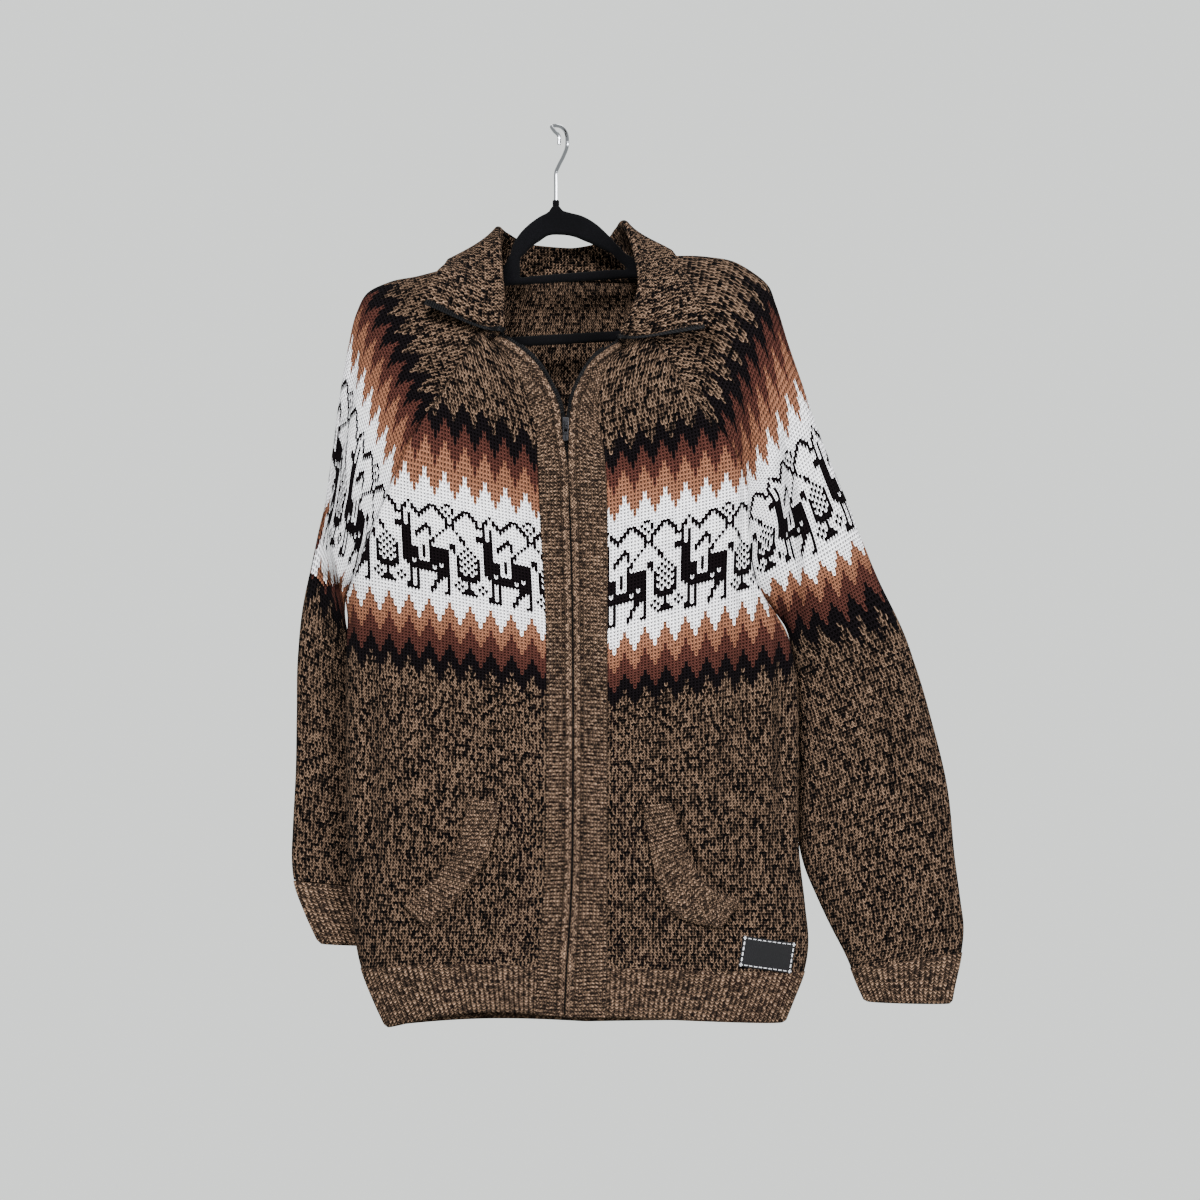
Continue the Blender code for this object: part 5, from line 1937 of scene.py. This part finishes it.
@dataclass
class HangerFrame:
    """The hanger's moulded frame, with round edges and smooth windows."""

    thick: float = 9.0
    edge: float = 3.6
    step: float = 3.0

    def build(self, finishes: Finishes) -> None:
        """Makes the frame from its outline and its two windows, and dresses its neck and its hook."""
        shape = bpy.data.curves.new("moulding", "CURVE")
        shape.dimensions, shape.fill_mode = "2D", "BOTH"
        shape.extrude = (self.thick / 2 - self.edge) * MM
        shape.bevel_depth, shape.bevel_resolution = self.edge * MM, 4
        shape.offset = -self.edge * MM
        for loop in (HANGER_OUTLINE, HANGER_UPPER_WINDOW, HANGER_LOWER_WINDOW):
            places = closed_curve(loop, self.step)
            line = shape.splines.new("POLY")
            line.points.add(len(places) - 1)
            line.use_cyclic_u = True
            line.points.foreach_set("co", np.pad(places * (MM, -MM), ((0, 0), (0, 2))).ravel())
        guide = bpy.data.objects.new("moulding", shape)
        bpy.context.scene.collection.objects.link(guide)
        mesh = bpy.data.meshes.new_from_object(guide.evaluated_get(bpy.context.evaluated_depsgraph_get()))
        bpy.data.objects.remove(guide)
        bm = bmesh.new()
        bm.from_mesh(mesh)
        bpy.data.meshes.remove(mesh)
        bmesh.ops.rotate(bm, verts=bm.verts, matrix=Matrix.Rotation(math.pi / 2, 3, "X"))
        bmesh.ops.scale(bm, vec=(1 / MM, 1 / MM, 1 / MM), verts=bm.verts)
        bmesh.ops.remove_doubles(bm, verts=bm.verts, dist=MOULDING_MERGE)
        bmesh.ops.dissolve_degenerate(bm, edges=bm.edges, dist=MOULDING_MERGE)
        settle(block_object("moulded_frame", bm, finishes["velvet"]), "velvet", "hanger_frame")
        redress("hanger_neck", finishes["velvet"])
        redress("hook", finishes["chrome"])


def redress(node: str, finish: Material) -> None:
    """Gives a solid that stays its own finish."""
    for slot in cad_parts[node].material_slots:
        slot.material = finish


def outward(surface: Point, course: float, share: float) -> Vector:
    """The normal of a front surface, towards the viewer."""
    along = surface(course + 1, share) - surface(course - 1, share)
    return towards_viewer(along.cross(surface(course, share + 0.01) - surface(course, share - 0.01)))


@dataclass
class Patch:
    """The plain woven patch at the right hem, with running stitches round it."""

    right: Body
    lift: float = RIB_RAISE + LABEL_CLOTH + 0.5  # how far its face stands off the front
    stitch: tuple[float, float, float] = (3.0, 0.75, 0.7)
    pitch: float = 4.6
    inset: float = 1.9

    def point(self, down: float, share: float) -> Vector:
        """A point of the patch, over the front and its hem.

        Args:
            down: 0 at its upper edge and 1 at its lower one.
            share: 0 at its left edge and 1 at its right one.

        Returns:
            The point, in millimetres.
        """
        turn = math.radians(LABEL_TURN)
        dx, dy = (share - 0.5) * LABEL_SIZE[0], (down - 0.5) * LABEL_SIZE[1]
        x = LABEL_CENTRE[0] + dx * math.cos(turn) - dy * math.sin(turn)
        drop = LABEL_CENTRE[1] + dx * math.sin(turn) + dy * math.cos(turn)
        here, normal = self.right.on_front(x, drop)
        return here + normal * self.lift

    def build(self, finishes: Finishes) -> None:
        """Makes the patch and its stitches."""
        wall = KnitWall("woven_patch", self.point, FRONT, 0, 1, 20, 34, ("knit_front_right",),
                        cloth=LABEL_CLOTH, edge=0.5)
        settle(wall.build(finishes["patch"]), "label", "label_patch")
        bm = bmesh.new()
        sizes = LABEL_SIZE[1], LABEL_SIZE[0]
        near = [self.inset / size for size in sizes]
        for way in (1, 0):
            count = round(sizes[way] * (1 - 2 * near[way]) / self.pitch)
            for fixed in (near[1 - way], 1 - near[1 - way]):
                for number in range(count + 1):
                    at = near[way] + (1 - 2 * near[way]) * number / count
                    self.add_stitch(bm, (fixed, at) if way else (at, fixed), way)
        settle(block_object("patch_stitches", bm, finishes["thread"]), "label")

    def heading(self, where: tuple[float, float], way: int, step: float = 0.02) -> Vector:
        """The direction of the patch's face at a place, down it for way 0 and across it for 1."""
        low, high = list(where), list(where)
        low[way], high[way] = max(where[way] - step, 0), min(where[way] + step, 1)
        return (self.point(*high) - self.point(*low)).normalized()

    def add_stitch(self, bm: BMesh, where: tuple[float, float], way: int) -> None:
        """Adds one running stitch, lying on the patch.

        Args:
            bm: the mesh that it joins.
            where: its place, down and across the patch.
            way: 0 if it runs down the patch and 1 across it.
        """
        along, side = self.heading(where, way), self.heading(where, 1 - way)
        normal = towards_viewer(along.cross(side))
        add_block(bm, self.point(*where) + normal * 0.1, (along, side, normal), self.stitch, 0.25)


@dataclass
class Studio:
    """A pale floor, soft lights and the photograph's viewpoint."""

    pixel: float = 0.95 * MM
    picture: int = 1200
    sensor: float = 36.0
    middle: tuple[float, float] = (0.0409, -0.4488)
    distance: float = 4.0
    floor_drop: float = 1.27
    backdrop: str = "cbcecc"
    seen_light: float = 2.05
    soft_light: float = 1.5

    def build(self) -> None:
        """Sets up the camera, the lights, the world and the floor."""
        self.camera()
        self.world()
        self.floor()
        self.light("key", (-0.7, -3.1, 1.6), 1.2, 520.0)
        self.light("fill", (2.2, -2.9, 0.1), 1.6, 270.0)
        self.light("rim", (0.4, 2.8, 1.2), 2.0, 60.0)

    def camera(self) -> None:
        """Looks straight at the front, as the photograph does."""
        lens = bpy.data.cameras.new("view")
        lens.sensor_width = self.sensor
        lens.lens = self.sensor * self.distance / (self.pixel * self.picture)
        seen = bpy.data.objects.new("view", lens)
        seen.location = (self.middle[0], -self.distance, self.middle[1])
        seen.rotation_euler = (math.pi / 2, 0, 0)
        bpy.context.scene.collection.objects.link(seen)
        bpy.context.scene.camera = seen

    def world(self) -> None:
        """Makes a plain pale surround."""
        around = bpy.data.worlds.new("surround")
        around.use_nodes = True
        shade = around.node_tree.nodes["Background"]
        shade.inputs[0].default_value = (*linear(self.backdrop), 1)
        tree = Tree(around.node_tree)
        seen = tree.add("ShaderNodeLightPath").outputs["Is Camera Ray"]
        more = self.seen_light - self.soft_light
        tree.put(shade.inputs[1], tree.math("MULTIPLY_ADD", seen, more, self.soft_light))
        bpy.context.scene.world = around

    def floor(self) -> None:
        """Makes a plain pale floor, below the hanging garment."""
        bm = bmesh.new()
        bmesh.ops.create_grid(bm, x_segments=1, y_segments=1, size=1.0)
        bmesh.ops.translate(bm, verts=bm.verts, vec=(self.middle[0], 0, -self.floor_drop))
        made = bpy.data.materials.new("pale_floor")
        made.use_nodes = True
        sockets = made.node_tree.nodes["Principled BSDF"].inputs
        sockets["Base Color"].default_value = (*linear(self.backdrop), 1)
        sockets["Roughness"].default_value = 0.9
        cloth_object("floor", mesh_of("floor", bm), made)

    def light(self, name: str, place: tuple[float, float, float], size: float, power: float) -> None:
        """Adds a large soft light that faces the garment.

        Args:
            name: the light's name.
            place: where it stands, in metres.
            size: how wide it is.
            power: its power, in watts.
        """
        lamp = bpy.data.lights.new(name, "AREA")
        lamp.size, lamp.energy = size, power
        made = bpy.data.objects.new(name, lamp)
        made.location = place
        aim = Vector((self.middle[0], 0, self.middle[1])) - Vector(place)
        made.rotation_euler = aim.to_track_quat("-Z", "Y").to_euler()
        bpy.context.scene.collection.objects.link(made)


def main() -> None:
    """Builds and dresses the cardigan in order."""
    logging.basicConfig(level=logging.INFO, format="%(name)s: %(message)s")
    form = Form()
    finishes = Finishes(Effects(knit_loops(), fibre(), weave()))
    Studio().build()
    Yoke(form).build(finishes)
    Ribs(form).build(finishes)
    Zip(form).build(finishes)
    Patch(form.right).build(finishes)
    HangerFrame().build(finishes)


if __name__ == "__main__":
    main()
